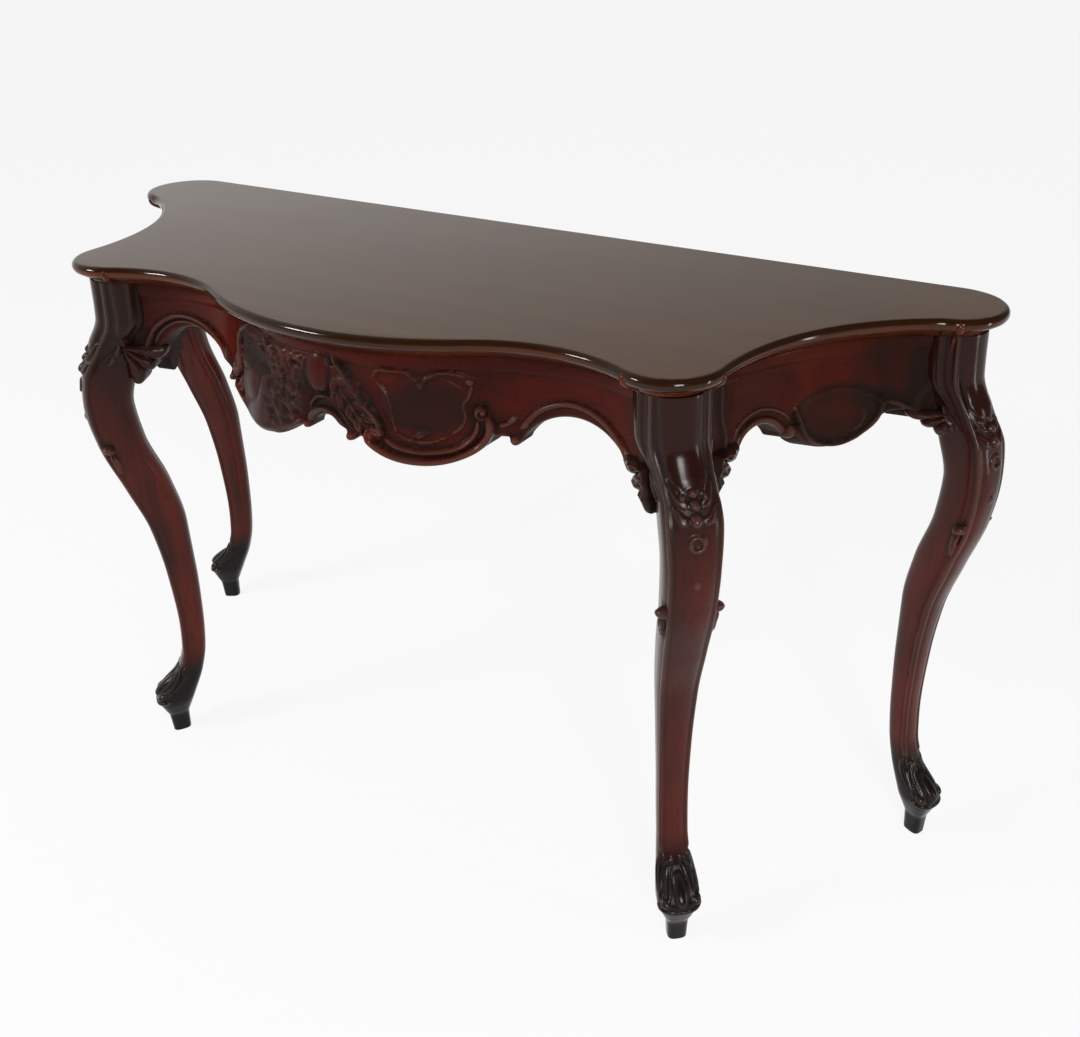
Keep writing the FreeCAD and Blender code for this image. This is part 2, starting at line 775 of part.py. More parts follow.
def side_elevation():
    """Outline of a side apron, from its front end to its back end."""
    stations = ["Sizes.side_arch_start", "Sizes.side_arch_end", "Sizes.side_drop_start",
                "Sizes.side_drop_end", "Sizes.side_back_arch_end"]
    front, back = "Layout.front_lobe_y", "Layout.half_depth"
    points = [edge_point(front)] + [edge_point(from_back(place)) for place in stations]
    points += [edge_point(back), board_point(back), board_point(front)]
    bows = [None, by_rise("Sizes.side_arch_rise", RIGHT_TURN), by_rise("Sizes.nub_depth", LEFT_TURN),
            by_rise("Sizes.side_drop_depth", LEFT_TURN),
            by_rise("Sizes.side_back_arch_rise", RIGHT_TURN), None, None, None, None]
    return points, bows


def shaped_strip(name, plan, plane, outline, insets, across):
    """Cut a curved strip of the frame to an outline seen from the front or the side."""
    points, bows = plan(*insets)
    strip = plan_pad(f"{name}_strip", points, bows, "Layout.edge_height - Sizes.edge_drop",
                     "2 * Sizes.edge_drop")
    points, bows = outline
    face = elevation_pad(f"{name}_face", plane, points, bows, *across)
    return boolean("Common", f"{name}_shape", strip, face)


FRONT_ACROSS = ("Layout.half_depth", "Sizes.top_depth")
SIDE_ACROSS = ("Sizes.front_lobe_spread", "Sizes.top_width / 2")
BAND = ("Sizes.apron_setback", "Layout.apron_back")


def make_front_apron(rooms):
    """The front apron with a tenon at either end."""
    shape = shaped_strip("apron_front", front_band, "XZ_Plane", front_elevation(), BAND, FRONT_ACROSS)
    shouldered = cut_by("apron_front", shape, rooms)
    tenon = make_tenon("front")
    return fuse("apron_front_joined", [shouldered, tenon, mirror_piece(tenon, "tenon_front_left")])


def make_side_apron(rooms):
    """The right side apron with its two tenons."""
    shape = shaped_strip("apron_side", side_band, "YZ_Plane", side_elevation(), BAND, SIDE_ACROSS)
    shouldered = cut_by("apron_side", shape, rooms)
    return fuse("apron_side_joined",
                [shouldered, make_tenon("side_front"), make_tenon("side_back")])


def make_back_rail(rooms):
    """The straight rail between the back legs."""
    rail = plain_box("back_rail_blank", ("-Layout.back_lobe_x", "Layout.back_rail_y",
                                         "Layout.board_under - Sizes.back_rail_depth"),
                     ("2 * Layout.back_lobe_x", "Sizes.back_rail_thickness",
                      "Sizes.back_rail_depth"))
    shouldered = cut_by("back_rail", rail, rooms)
    tenon = make_tenon("rail")
    return fuse("back_rail_joined", [shouldered, tenon, mirror_piece(tenon, "tenon_rail_left")])


def plain_box(name, corner, size):
    """Make a box from its lowest corner and its size."""
    box = DOCUMENT.addObject("Part::Box", name)
    for axis, place in zip("xyz", corner):
        box.setExpression(f"Placement.Base.{axis}", place)
    for side, length in zip(("Length", "Width", "Height"), size):
        box.setExpression(side, length)
    return box


# ---------------------------------------------------------------- knee brackets

def make_bracket(name, station, reach, room):
    """A lobed bracket under an apron, scribed to the side of its leg."""
    (x, y), heading = station
    step = "Sizes.bracket_fall / 3"
    lobe = by_rise("Sizes.bracket_bulge", LEFT_TURN)
    points = [(f"{reach} * {share} - {reach}", f"Layout.edge_height - {share} * 3 * {step}")
              for share in (0, 1 / 3, 2 / 3, 1)]
    points += [edge_point("Sizes.bracket_tail", "Sizes.bracket_fall"), edge_point("Sizes.bracket_tail")]
    bows = [lobe, lobe, lobe, None, None, None]
    body = elevation_pad(name, "XZ_Plane", points, bows, "0", "Sizes.bracket_thickness")
    turn_about_z(body, x, y, "0", heading)
    return cut_by(name, body, [room])


# ---------------------------------------------------------------- carvings on the aprons

def on_apron(relief):
    """Insets of a carving that is glued on an apron's face."""
    return (f"Sizes.apron_setback - {relief}", "Layout.glue_face")


def make_shell():
    """The carved field that fills the left drop of the front apron."""
    points = [edge_point("Sizes.shell_start"), edge_point("Sizes.shell_low", "Sizes.shell_depth"),
              edge_point("Sizes.shell_end"),
              board_point("Sizes.shell_top_end", "Sizes.shell_top_drop"),
              board_point("Sizes.shell_top_start", "Sizes.shell_top_drop")]
    bows = SHELL_DIP + [by_rise("Sizes.nub_depth", RIGHT_TURN), by_rise("Sizes.nub_depth", LEFT_TURN),
                        by_rise("Sizes.shell_long_bulge", RIGHT_TURN)]
    return shaped_strip("shell", front_band, "XZ_Plane", (points, bows),
                        on_apron("Sizes.shell_relief"), FRONT_ACROSS)


def make_reserve():
    """The plain raised panel in the right drop of the front apron."""
    middle = "(Sizes.reserve_start + Sizes.reserve_end) / 2"
    quarter = "(Sizes.reserve_end - Sizes.reserve_start) / 5"
    points = [board_point(f"Sizes.reserve_start + {quarter}", "Sizes.reserve_bottom_drop"),
              board_point(f"Sizes.reserve_end - {quarter}", "Sizes.reserve_bottom_drop"),
              board_point("Sizes.reserve_end", "Sizes.reserve_top_drop"),
              board_point(middle, "Sizes.reserve_top_drop + Sizes.nub_depth"),
              board_point("Sizes.reserve_start", "Sizes.reserve_top_drop")]
    swell = by_rise("Sizes.nub_depth", LEFT_TURN)
    return shaped_strip("reserve", front_band, "XZ_Plane", (points, [swell] * 5),
                        on_apron("Sizes.reserve_relief"), FRONT_ACROSS)


def drop_edge(along, inward):
    """Point on the rim of the right drop, or on a curve that runs inside it."""
    reach = f"(Layout.drop_radius - {inward})"
    return (along, f"Layout.drop_z - sqrt({reach} ^ 2 - ({along} - Layout.drop_x) ^ 2)")


def make_scroll():
    """The C-shaped scroll that runs round the rim of the right drop."""
    inner_end = "(Sizes.cartouche_end - Sizes.scroll_width)"
    head = "Layout.edge_height + Sizes.scroll_rise"
    points = [drop_edge("Sizes.scroll_start", "0"), drop_edge("Sizes.cartouche_end", "0"),
              ("Sizes.cartouche_end", head), (inner_end, head),
              drop_edge(inner_end, "Sizes.scroll_width"),
              drop_edge("Sizes.scroll_start", "Sizes.scroll_width")]
    swell = by_rise("Sizes.nub_depth", LEFT_TURN)
    bows = [by_radius("Layout.drop_radius", LEFT_TURN), swell, swell,
            by_rise("Sizes.nub_depth", RIGHT_TURN),
            by_radius("(Layout.drop_radius - Sizes.scroll_width)", RIGHT_TURN), None]
    return shaped_strip("scroll", front_band, "XZ_Plane", (points, bows),
                        on_apron("Sizes.scroll_relief"), FRONT_ACROSS)


def make_leaf():
    """The leaf that lies slantwise between the two drops."""
    points = [board_point("Sizes.leaf_bottom", "Sizes.leaf_bottom_drop"),
              board_point("Sizes.leaf_top", "Sizes.leaf_top_drop")]
    side = by_rise("Sizes.leaf_width / 2", LEFT_TURN)
    return shaped_strip("leaf", front_band, "XZ_Plane", (points, [side, side]),
                        on_apron("Sizes.leaf_relief"), FRONT_ACROSS)


def make_side_carving():
    """The scrolled ornament in the drop of a side apron."""
    front, back = from_back("Sizes.side_drop_start"), from_back("Sizes.side_drop_end")
    points = [edge_point(front), edge_point(back),
              board_point(f"{back} - Sizes.nub_depth", "Sizes.side_carving_top_drop"),
              board_point(f"{front} + Sizes.nub_depth", "Sizes.side_carving_top_drop")]
    swell = by_rise("Sizes.nub_depth", LEFT_TURN)
    bows = [by_rise("Sizes.side_drop_depth", LEFT_TURN), swell, swell, swell]
    return shaped_strip("side_carving", side_band, "YZ_Plane", (points, bows),
                        on_apron("Sizes.side_carving_relief"), SIDE_ACROSS)


# ---------------------------------------------------------------- inner blocks and screws

def make_front_block(rooms):
    """The block that ties the front apron, the side apron and the leg together."""
    reach, setback = "Sizes.front_block_reach", from_back("Sizes.front_block_setback")
    points = [(reach, f"{setback} - Sizes.front_block_slope"),
              (reach, "Layout.front_lobe_y - Sizes.tenon_thickness"),
              ("Sizes.front_lobe_spread", "Layout.front_lobe_y"),
              side_station("Sizes.front_block_setback", "Layout.apron_middle", True)[0],
              (side_station("Sizes.front_block_setback", "Layout.apron_back", True)[0][0]
               + " - Sizes.tenon_thickness", setback)]
    body = plan_pad("front_block", points, [None] * 5, "Layout.block_under", "Sizes.block_thickness")
    return cut_by("front_block", body, rooms)


def make_back_block(rooms):
    """The block in a back corner, between the rail, the side apron and the leg."""
    blank = plain_box("back_block", ("Sizes.back_block_reach",
                                     "Layout.back_rail_y - Sizes.back_rail_depth",
                                     "Layout.block_under"),
                      ("Layout.back_leg_x - Sizes.back_block_reach",
                       "Sizes.back_rail_depth", "Sizes.block_thickness"))
    return cut_by("back_block", blank, rooms)


def make_bearer(room):
    """A bearer under the board, from the front apron to the back rail."""
    front = "Layout.front_lobe_y"
    blank = plain_box("bearer", ("Sizes.bearer_spread - Sizes.bearer_width / 2", front,
                                 "Layout.block_under"),
                      ("Sizes.bearer_width", f"Layout.back_rail_y - ({front})",
                       "Sizes.block_thickness"))
    return cut_by("bearer", blank, [room])


def make_glue_blocks():
    """The small blocks in the angle between the board and the back rail."""
    blocks = []
    for place in ("inner", "outer"):
        spread = f"Sizes.{place}_glue_block_spread"
        block = plain_box(f"glue_block_{place}",
                          (f"{spread} - Sizes.glue_block_length / 2",
                           "Layout.back_rail_y - Sizes.glue_block_side",
                           "Layout.board_under - Sizes.glue_block_side"),
                          ("Sizes.glue_block_length", "Sizes.glue_block_side",
                           "Sizes.glue_block_side"))
        blocks += [block, mirror_piece(block, f"glue_block_{place}_left")]
    return gather("glue_block_group", blocks)


SCREW_PLACES = {
    "bearer_front": ("Sizes.bearer_spread",
                     "Layout.rail_middle_y - Sizes.back_rail_depth - Sizes.bearer_screw_spacing"),
    "bearer_back": ("Sizes.bearer_spread", "Layout.rail_middle_y - Sizes.back_rail_depth"),
    "front_block": ("(Sizes.front_block_reach + Sizes.front_lobe_spread) / 2",
                    f"{from_back('Sizes.front_block_setback')} - Sizes.front_block_slope"),
    "back_block": ("Sizes.back_block_reach + Sizes.bearer_width / 2",
                   "Layout.back_rail_y - Sizes.bearer_width / 2"),
}


def screw_form(name, place, room):
    """A countersunk screw driven up into the board, or with room round it its hole."""
    x, y = place
    head = DOCUMENT.addObject("Part::Cone", f"{name}_head")
    head.setExpression("Radius1", f"Sizes.screw_head_diameter / 2 + {room}")
    head.setExpression("Radius2", f"Sizes.screw_diameter / 2 + {room}")
    head.setExpression("Height", "Sizes.screw_head_height")
    shank = DOCUMENT.addObject("Part::Cylinder", f"{name}_shank")
    shank.setExpression("Radius", f"Sizes.screw_diameter / 2 + {room}")
    shank.setExpression("Height", f"Layout.shank_length + {room}")
    for item, lift in ((head, "0"), (shank, "Sizes.screw_head_height")):
        item.setExpression("Placement.Base.x", x)
        item.setExpression("Placement.Base.y", y)
        item.setExpression("Placement.Base.z", f"Layout.block_under + {lift}")
    return fuse(name, [head, shank])


def make_screws():
    """All the screws of the top, and the holes that they need on the right-hand side."""
    screws, holes = [], {}
    for place, point in SCREW_PLACES.items():
        screw = screw_form(f"screw_{place}", point, "0")
        screws += [screw, mirror_piece(screw, f"screw_{place}_left")]
        holes[place] = screw_form(f"hole_{place}", point, "Sizes.joint_clearance")
    return gather("screw_group", screws), holes


# ---------------------------------------------------------------- assembly

FRONT_LEG = ("Layout.front_leg_x", "Layout.front_leg_y", "Sizes.front_leg_turn")
BACK_LEG = ("Layout.back_leg_x", "Layout.back_leg_y", "Sizes.back_leg_turn")


def make_leg_rooms():
    """The room that the legs take, a little larger than the legs, on both sides."""
    front = make_leg_form("room_front_leg", FRONT_LEG, "0", "Sizes.joint_clearance")
    back = make_leg_form("room_back_leg", BACK_LEG, "Sizes.back_leg_slimming",
                         "Sizes.joint_clearance")
    return front, back, mirror_piece(front, "room_front_left"), mirror_piece(back, "room_back_left")


def make_frame_rooms():
    """The room that the aprons take, out to beyond the edge of the top."""
    rooms = []
    for name, plan in (("front", front_band), ("side", side_band)):
        points, bows = plan("-Sizes.apron_thickness", "Layout.room_inset")
        rooms.append(plan_pad(f"room_{name}", points, bows, "Layout.edge_height", "Sizes.edge_drop"))
    return rooms


def build():
    """Make every piece of the table."""
    screws, holes = make_screws()
    top = cut_by("top_right", make_top(), holes.values())
    left_holes = [mirror_piece(hole, f"{hole.Name}_left") for hole in holes.values()]
    keep(cut_by("top_left", top, left_holes), "top_board")
    keep(stacked_loft("moulding_front_blank", moulding_rings(front_band)), "moulding_front")
    keep_pair(stacked_loft("moulding_side_blank", moulding_rings(side_moulding_band)), "moulding_side")
    keep_pair(stacked_loft("moulding_front_corner_blank", moulding_rings(front_corner_band)),
              "moulding_front_corner")
    keep_pair(stacked_loft("moulding_back_corner_blank", moulding_rings(back_corner_band)),
              "moulding_back_corner")

    rebates = make_rebates()
    front_leg = make_leg_form("leg_front_form", FRONT_LEG, "0", "0")
    back_leg = make_leg_form("leg_back_form", BACK_LEG, "Sizes.back_leg_slimming", "0")
    front_cuts = rebates + [make_mortise("front"), make_mortise("side_front")]
    back_cuts = rebates + [make_mortise("side_back"), make_mortise("rail")]
    keep_pair(cut_by("leg_front", front_leg, front_cuts), "leg_front")
    keep_pair(cut_by("leg_back", back_leg, back_cuts), "leg_back")

    room_front, room_back, room_front_left, room_back_left = make_leg_rooms()
    keep(make_front_apron([room_front, room_front_left]), "apron_front")
    keep_pair(make_side_apron([room_front, room_back]), "apron_side")
    keep(make_back_rail([room_back, room_back_left]), "back_rail")

    front_station = (lobe_to_hollow("Sizes.bracket_inset"), "Layout.front_heading")
    side_front = side_station("Sizes.bracket_side_setback", "Sizes.bracket_inset", False)
    side_back = side_station("Sizes.bracket_back_setback", "Sizes.bracket_inset", True)
    keep_pair(make_bracket("bracket_front", front_station, "Sizes.bracket_front_reach", room_front),
              "bracket_front")
    keep_pair(make_bracket("bracket_side", side_front, "Sizes.bracket_side_reach", room_front),
              "bracket_side")
    keep_pair(make_bracket("bracket_back", side_back, "Sizes.bracket_back_reach", room_back),
              "bracket_back")

    keep(make_shell(), "carving_shell")
    keep(make_reserve(), "carving_reserve")
    keep(make_scroll(), "carving_scroll")
    keep(make_leaf(), "carving_leaf")
    keep_pair(make_side_carving(), "carving_side")

    front_room, side_room = make_frame_rooms()
    front_block = make_front_block([front_room, side_room, room_front, holes["front_block"]])
    back_block = make_back_block([side_room, room_back, holes["back_block"]])
    bearer = make_bearer(front_room)
    keep_pair(front_block, "corner_block_front")
    keep_pair(back_block, "corner_block_back")
    keep_pair(cut_by("bearer_bored", bearer, [holes["bearer_front"], holes["bearer_back"]]), "bearer")
    keep(make_glue_blocks(), "glue_blocks")
    keep(screws, "screws")


def check():
    """Stop at any object that failed and at any piece that is not sound."""
    for item in DOCUMENT.Objects:
        if "Invalid" in item.State or "Error" in item.State:
            raise RuntimeError(f"{item.Name} is {item.State}")
    for piece in PIECES:
        shape = piece.Shape
        if shape.isNull() or not shape.isValid() or shape.Volume <= 0:
            raise RuntimeError(f"{piece.Label} is not a sound solid")


def export():
    """Write each piece to its own STEP file."""
    os.makedirs("parts", exist_ok=True)
    for piece in PIECES:
        piece.Shape.exportStep(f"parts/{piece.Label}.step")
        print(piece.Label, len(piece.Shape.Solids), round(piece.Shape.Volume))


build()
DOCUMENT.recompute()
check()
export()
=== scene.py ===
"""A carved mahogany pier table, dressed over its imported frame."""

import logging
import math
from collections.abc import Callable, Iterator, Sequence
from contextlib import contextmanager
from dataclasses import dataclass
from enum import Enum
from functools import cache, reduce
from operator import or_

import bpy
import numpy as np
from mathutils import Matrix, Vector


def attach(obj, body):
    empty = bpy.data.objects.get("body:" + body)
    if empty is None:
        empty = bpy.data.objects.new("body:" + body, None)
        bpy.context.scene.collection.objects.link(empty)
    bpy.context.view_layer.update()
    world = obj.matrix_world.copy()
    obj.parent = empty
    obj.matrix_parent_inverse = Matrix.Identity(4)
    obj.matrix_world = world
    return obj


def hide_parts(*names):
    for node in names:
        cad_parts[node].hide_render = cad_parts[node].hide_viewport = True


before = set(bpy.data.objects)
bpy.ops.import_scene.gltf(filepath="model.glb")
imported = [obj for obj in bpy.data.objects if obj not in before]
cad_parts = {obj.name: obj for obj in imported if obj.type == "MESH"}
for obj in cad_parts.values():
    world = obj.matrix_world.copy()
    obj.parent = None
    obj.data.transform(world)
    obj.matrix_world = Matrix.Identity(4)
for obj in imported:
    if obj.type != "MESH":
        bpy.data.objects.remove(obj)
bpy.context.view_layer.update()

log = logging.getLogger("pier_table")

Point = tuple[float, float]
Line = Sequence[Point]
Triple = tuple[float, float, float]
Colour = Triple
Edge = Callable[[np.ndarray, float], np.ndarray]

# sizes are in millimetres and angles in degrees, except where a comment says otherwise
MM = 0.001
HALF_DEPTH = 250.0
BOARD_UNDER = 765.0
MOULDING_UNDER = 754.0
APRON_EDGE = 640.0
MERGE_GAP = 0.02
CARVED_EDGE = 60.0
# hollow mark on the hidden backs of carved sheets: painted shade
HIDDEN_SHADE = 0.8


class Grain(Enum):
    """The way the fibres of a piece of wood run, as how fine they are along each axis."""

    ALONG_WIDTH = (1.5, 30.0, 30.0)
    ALONG_DEPTH = (30.0, 1.5, 30.0)
    UPRIGHT = (30.0, 30.0, 1.5)


class Side(Enum):
    """The hand of a piece, as a sign on X."""

    RIGHT = 1
    LEFT = -1

    def of(self, name: str) -> str:
        """Name a piece of this hand."""
        return f"{name}_{self.name.lower()}"


def held_share(value: float, start: float, end: float) -> float:
    """How far a value has come from a start to an end, held between 0 and 1."""
    return min(max((value - start) / (end - start), 0.0), 1.0)


# ------------------------------------------------------------------ shaders


def math_operator(operation: str,
                  reflected: bool = False) -> Callable[["Socket", object], "Socket"]:
    """Make a Python operator that adds a Math node.

    Args:
        operation: The node's operation.
        reflected: Whether the socket stands on the right.

    Returns:
        The operator's method.
    """

    def apply(socket: "Socket", other: object) -> "Socket":
        """Add the node for a socket and a number or another socket."""
        first, second = (other, socket) if reflected else (socket, other)
        return socket.graph.node("Math", {"operation": operation}, {0: first, 1: second})

    return apply


class Socket:
    """An output socket that takes part in Python expressions."""

    def __init__(self, graph: "Graph", link: bpy.types.NodeSocket) -> None:
        """Keep the socket and the graph that it belongs to."""
        self.graph = graph
        self.link = link

    __add__, __radd__ = math_operator("ADD"), math_operator("ADD", True)
    __sub__, __rsub__ = math_operator("SUBTRACT"), math_operator("SUBTRACT", True)
    __mul__, __rmul__ = math_operator("MULTIPLY"), math_operator("MULTIPLY", True)
    __or__, __ror__ = math_operator("MAXIMUM"), math_operator("MAXIMUM", True)
    __lt__, __gt__ = math_operator("LESS_THAN"), math_operator("GREATER_THAN")


class Graph:
    """The node tree of a material or of the world."""

    def __init__(self, owner: bpy.types.Material | bpy.types.World) -> None:
        """Give the owner an empty tree.

        Args:
            owner: The material or the world.
        """
        owner.use_nodes = True
        self.tree = owner.node_tree
        self.tree.nodes.clear()

    def node(self, kind: str, settings: dict | None = None, inputs: dict | None = None,
             output: int | str = 0) -> Socket | None:
        """Add a node.

        Args:
            kind: The node's type name after ShaderNode.
            settings: Attributes to set first. "stops" fills a colour ramp.
            inputs: Values, colours or sockets, by input name or number.
            output: The name or number of the output to return.

        Returns:
            The output's socket, or None for a node that has none.
        """
        node = self.tree.nodes.new(f"ShaderNode{kind}")
        for name, value in (settings or {}).items():
            if name == "stops":
                self._fill_ramp(node.color_ramp, value)
            else:
                setattr(node, name, value)
        for name, value in (inputs or {}).items():
            socket = node.inputs[name]
            if isinstance(value, Socket):
                self.tree.links.new(value.link, socket)
            else:
                socket.default_value = (*value, 1.0) if socket.type == "RGBA" else value
        return Socket(self, node.outputs[output]) if node.outputs else None

    @staticmethod
    def _fill_ramp(ramp: bpy.types.ColorRamp, stops: Sequence[tuple[float, Colour]]) -> None:
        """Fill a colour ramp.

        Args:
            ramp: The ramp.
            stops: Pairs of position and colour.
        """
        while len(ramp.elements) < len(stops):
            ramp.elements.new(1.0)
        for element, (position, colour) in zip(ramp.elements, stops):
            element.position = position
            element.color = (*colour, 1.0)

    def coordinates(self) -> Socket:
        """Read the place on the table, in metres."""
        return self.node("TexCoord", output="Object")

    def axis(self, place: Socket, name: str) -> Socket:
        """Take one axis of a place."""
        return self.node("SeparateXYZ", inputs={"Vector": place}, output=name)

    def mix(self, factor: Socket, first: Socket | Colour, second: Socket | Colour) -> Socket:
        """Mix two colours, by the share of the second."""
        return self.node("Mix", {"data_type": "RGBA", "clamp_factor": True},
                         {0: factor, 6: first, 7: second}, 2)

    def blend(self, factor: Socket, first: Socket, second: Socket) -> Socket:
        """Blend two shaders, by the share of the second."""
        return self.node("MixShader", inputs={0: factor, 1: first, 2: second})

    def fade(self, value: Socket, start: float, end: float, low: float = 0.0,
             high: float = 1.0) -> Socket:
        """Turn a value from start to end into a share from low to high, held at both."""
        return self.node("MapRange", inputs={"Value": value, "From Min": start, "From Max": end,
                                             "To Min": low, "To Max": high})

    def rays(self, *kinds: str) -> Socket:
        """Find whether a ray is of one of some kinds, such as Camera."""
        return reduce(or_, [self.node("LightPath", output=f"Is {kind} Ray") for kind in kinds])


@dataclass(frozen=True)
class Noise:
    """An even unevenness, from coarse to fine."""

    scale: float
    detail: float = 2.0
    roughness: float = 0.5
    distortion: float = 0.0

    def over(self, place: Socket) -> Socket:
        """Lay the noise over the coordinates of a surface."""
        return place.graph.node("TexNoise", inputs={
            "Vector": place, "Scale": self.scale, "Detail": self.detail,
            "Roughness": self.roughness, "Distortion": self.distortion})


FIGURE = Noise(0.55, 5.0, 0.55, 0.7)
FIBRE = Noise(14.0, 4.0, 0.65)
CLOUD = Noise(5.5)
BLACK = (0.0, 0.0, 0.0)
WHITE = (1.0, 1.0, 1.0)


@dataclass(frozen=True)
class Rim:
    """The dark, coated nose of the board, with a redder band in streaks on its lower part: partly
    wear, partly painted light where the nose is lit, more of it to the left.
    """

    colour: Colour = (0.017, 0.005, 0.001)
    worn_and_lit: Colour = (0.082, 0.019, 0.003)
    coat: float = 0.16
    streaks: Noise = Noise(3.2)
    streaks_from: float = 0.42
    streaks_to: float = 0.66
    least_wear_and_light: float = 0.1
    more_to_left: float = 0.2
    # heights in metres: the nose lies below the first, and its worn and painted-lit band fades in
    # between the others
    top: float = 0.7797
    worn_lit_from: float = 0.7755
    worn_lit_to: float = 0.7735

    def over(self, place: Socket, wood: Socket) -> tuple[Socket, Socket]:
        """Lay the nose's finish, with its worn and painted-lit band, over the wood.

        Args:
            place: The place on the table.
            wood: Colour of the wood.

        Returns:
            The new colour and the weight of the coat.
        """
        graph = place.graph
        height = graph.axis(place, "Z")
        nose = height < self.top
        # painted light: the redder streaks stand partly for wear and partly for the lit lower half
        # of the nose, more to the left
        wear_and_light = self.streaks.over(place) - graph.axis(place, "X") * self.more_to_left
        wear_and_light = (graph.fade(wear_and_light, self.streaks_from, self.streaks_to, self.least_wear_and_light)
                * graph.fade(height, self.worn_lit_from, self.worn_lit_to))
        colour = graph.mix(nose, wood, graph.mix(wear_and_light, self.colour, self.worn_and_lit))
        return colour, nose * self.coat


@dataclass(frozen=True)
class HeightDarkening:
    """Darkening of a leg by height: the stile goes darker towards the top, and the toe nearly
    black.
    """

    share: float
    toe: Colour = (0.006, 0.0045, 0.004)
    # heights in metres
    stile_from: float = 0.50
    stile_to: float = 0.65
    toe_from: float = 0.15
    toe_to: float = 0.11

    def over(self, place: Socket, wood: Socket, stile: Colour) -> Socket:
        """Darken the wood by height.

        Args:
            place: The place on the table.
            wood: Colour of the wood.
            stile: Colour that the stile goes towards.

        Returns:
            The new colour.
        """
        graph = place.graph
        height = graph.axis(place, "Z")
        raised = graph.fade(height, self.stile_from, self.stile_to, high=self.share)
        lowered = graph.fade(height, self.toe_from, self.toe_to)
        return graph.mix(lowered, graph.mix(raised, wood, stile), self.toe)


@dataclass(frozen=True)
class WaxWearAndPaintedLight:
    """How carving is coloured: its hollows get dark wax and painted shade, and its ridges are
    rubbed pale and given a painted highlight.
    """

    ridge: float = 0.3
    ridge_wear_and_highlight: Colour = (0.13, 0.075, 0.055)
    hollow: float = 0.9
    hollow_wax_and_shade: Colour = (0.010, 0.0065, 0.005)
    hollow_roughness: float = 0.35

    def over(self, wood: Socket, rough: Socket) -> tuple[Socket, Socket]:
        """Colour the wood by the marks that the carving left on the mesh: wax and painted shade in
        the hollows, wear and a painted highlight on the ridges.

        Args:
            wood: Colour of the wood.
            rough: Roughness of the wood.

        Returns:
            The new colour and roughness.
        """
        graph = wood.graph
        depth = graph.node("Attribute", {"attribute_name": "hollow"}, output="Fac")
        proud = graph.node("Attribute", {"attribute_name": "ridge"}, output="Fac")
        # the ridge tint is rubbed wear and a painted highlight; the hollow tint is dark wax and
        # painted shade
        colour = graph.mix(proud * self.ridge, wood, self.ridge_wear_and_highlight)
        colour = graph.mix(depth * self.hollow, colour, self.hollow_wax_and_shade)
        return colour, rough + depth * self.hollow_roughness


@dataclass(frozen=True)
class WoodFinish:
    """Polished or plain wood, with its figure and its pores."""

    name: str
    light: Colour
    dark: Colour
    pore: Colour
    grain: Grain = Grain.ALONG_WIDTH
    roughness: float = 0.22
    roughness_spread: float = 0.1
    specular: float = 0.08
    coat_roughness: float = 0.12
    bump: float = 0.06
    # depth of the pores in metres
    pore_depth: float = 0.0004
    pore_share: float = 0.55
    pores_from: float = 0.52
    pores_to: float = 0.70
    figure_share: float = 0.55
    dark_to: float = 0.40
    light_from: float = 0.62
    rim: Rim | None = None
    darkening_by_height: HeightDarkening | None = None
    wax_wear_and_painted_light: WaxWearAndPaintedLight | None = None

    @cache
    def build(self) -> bpy.types.Material:
        """Make the material once.

        Returns:
            The material.
        """
        material = bpy.data.materials.new(self.name)
        graph = Graph(material)
        place = graph.coordinates()
        along = graph.node("Mapping", inputs={"Vector": place, "Scale": self.grain.value})
        figure = (FIGURE.over(along) * self.figure_share
                  + CLOUD.over(place) * (1 - self.figure_share))
        fibre = FIBRE.over(along)
        colour = graph.node("ValToRGB", {"stops": (
            (self.dark_to, self.dark), (self.light_from, self.light))}, {"Fac": figure})
        pores = graph.node("ValToRGB", {"stops": (
            (self.pores_from, BLACK), (self.pores_to, WHITE))}, {"Fac": fibre})
        colour = graph.mix(pores * self.pore_share, colour, self.pore)
        rough = fibre * self.roughness_spread + (self.roughness - self.roughness_spread * 0.5)
        coat = 0.0
        if self.rim:
            colour, coat = self.rim.over(place, colour)
        if self.darkening_by_height:
            colour = self.darkening_by_height.over(place, colour, self.pore)
        if self.wax_wear_and_painted_light:
            colour, rough = self.wax_wear_and_painted_light.over(colour, rough)
        bump = graph.node("Bump", inputs={
            "Height": fibre, "Strength": self.bump, "Distance": self.pore_depth})
        shader = graph.node("BsdfPrincipled", inputs={
            "Base Color": colour, "Roughness": rough, "Normal": bump, "Coat Weight": coat,
            "Specular IOR Level": self.specular, "Coat Roughness": self.coat_roughness})
        graph.node("OutputMaterial", inputs={"Surface": shader})
        return material


@dataclass(frozen=True)
class MetalFinish:
    """Dull steel, stained in patches."""

    name: str
    colour: Colour = (0.42, 0.40, 0.38)
    stain: Colour = (0.21, 0.20, 0.19)
    patches: Noise = Noise(260.0, 3.0)
    stain_share: float = 0.7
    roughness: float = 0.25
    roughness_spread: float = 0.3

    @cache
    def build(self) -> bpy.types.Material:
        """Make the material once.

        Returns:
            The material.
        """
        material = bpy.data.materials.new(self.name)
        graph = Graph(material)
        patch = self.patches.over(graph.coordinates())
        shader = graph.node("BsdfPrincipled", inputs={
            "Base Color": graph.mix(patch * self.stain_share, self.colour, self.stain),
            "Metallic": 1.0, "Roughness": patch * self.roughness_spread + self.roughness})
        graph.node("OutputMaterial", inputs={"Surface": shader})
        return material


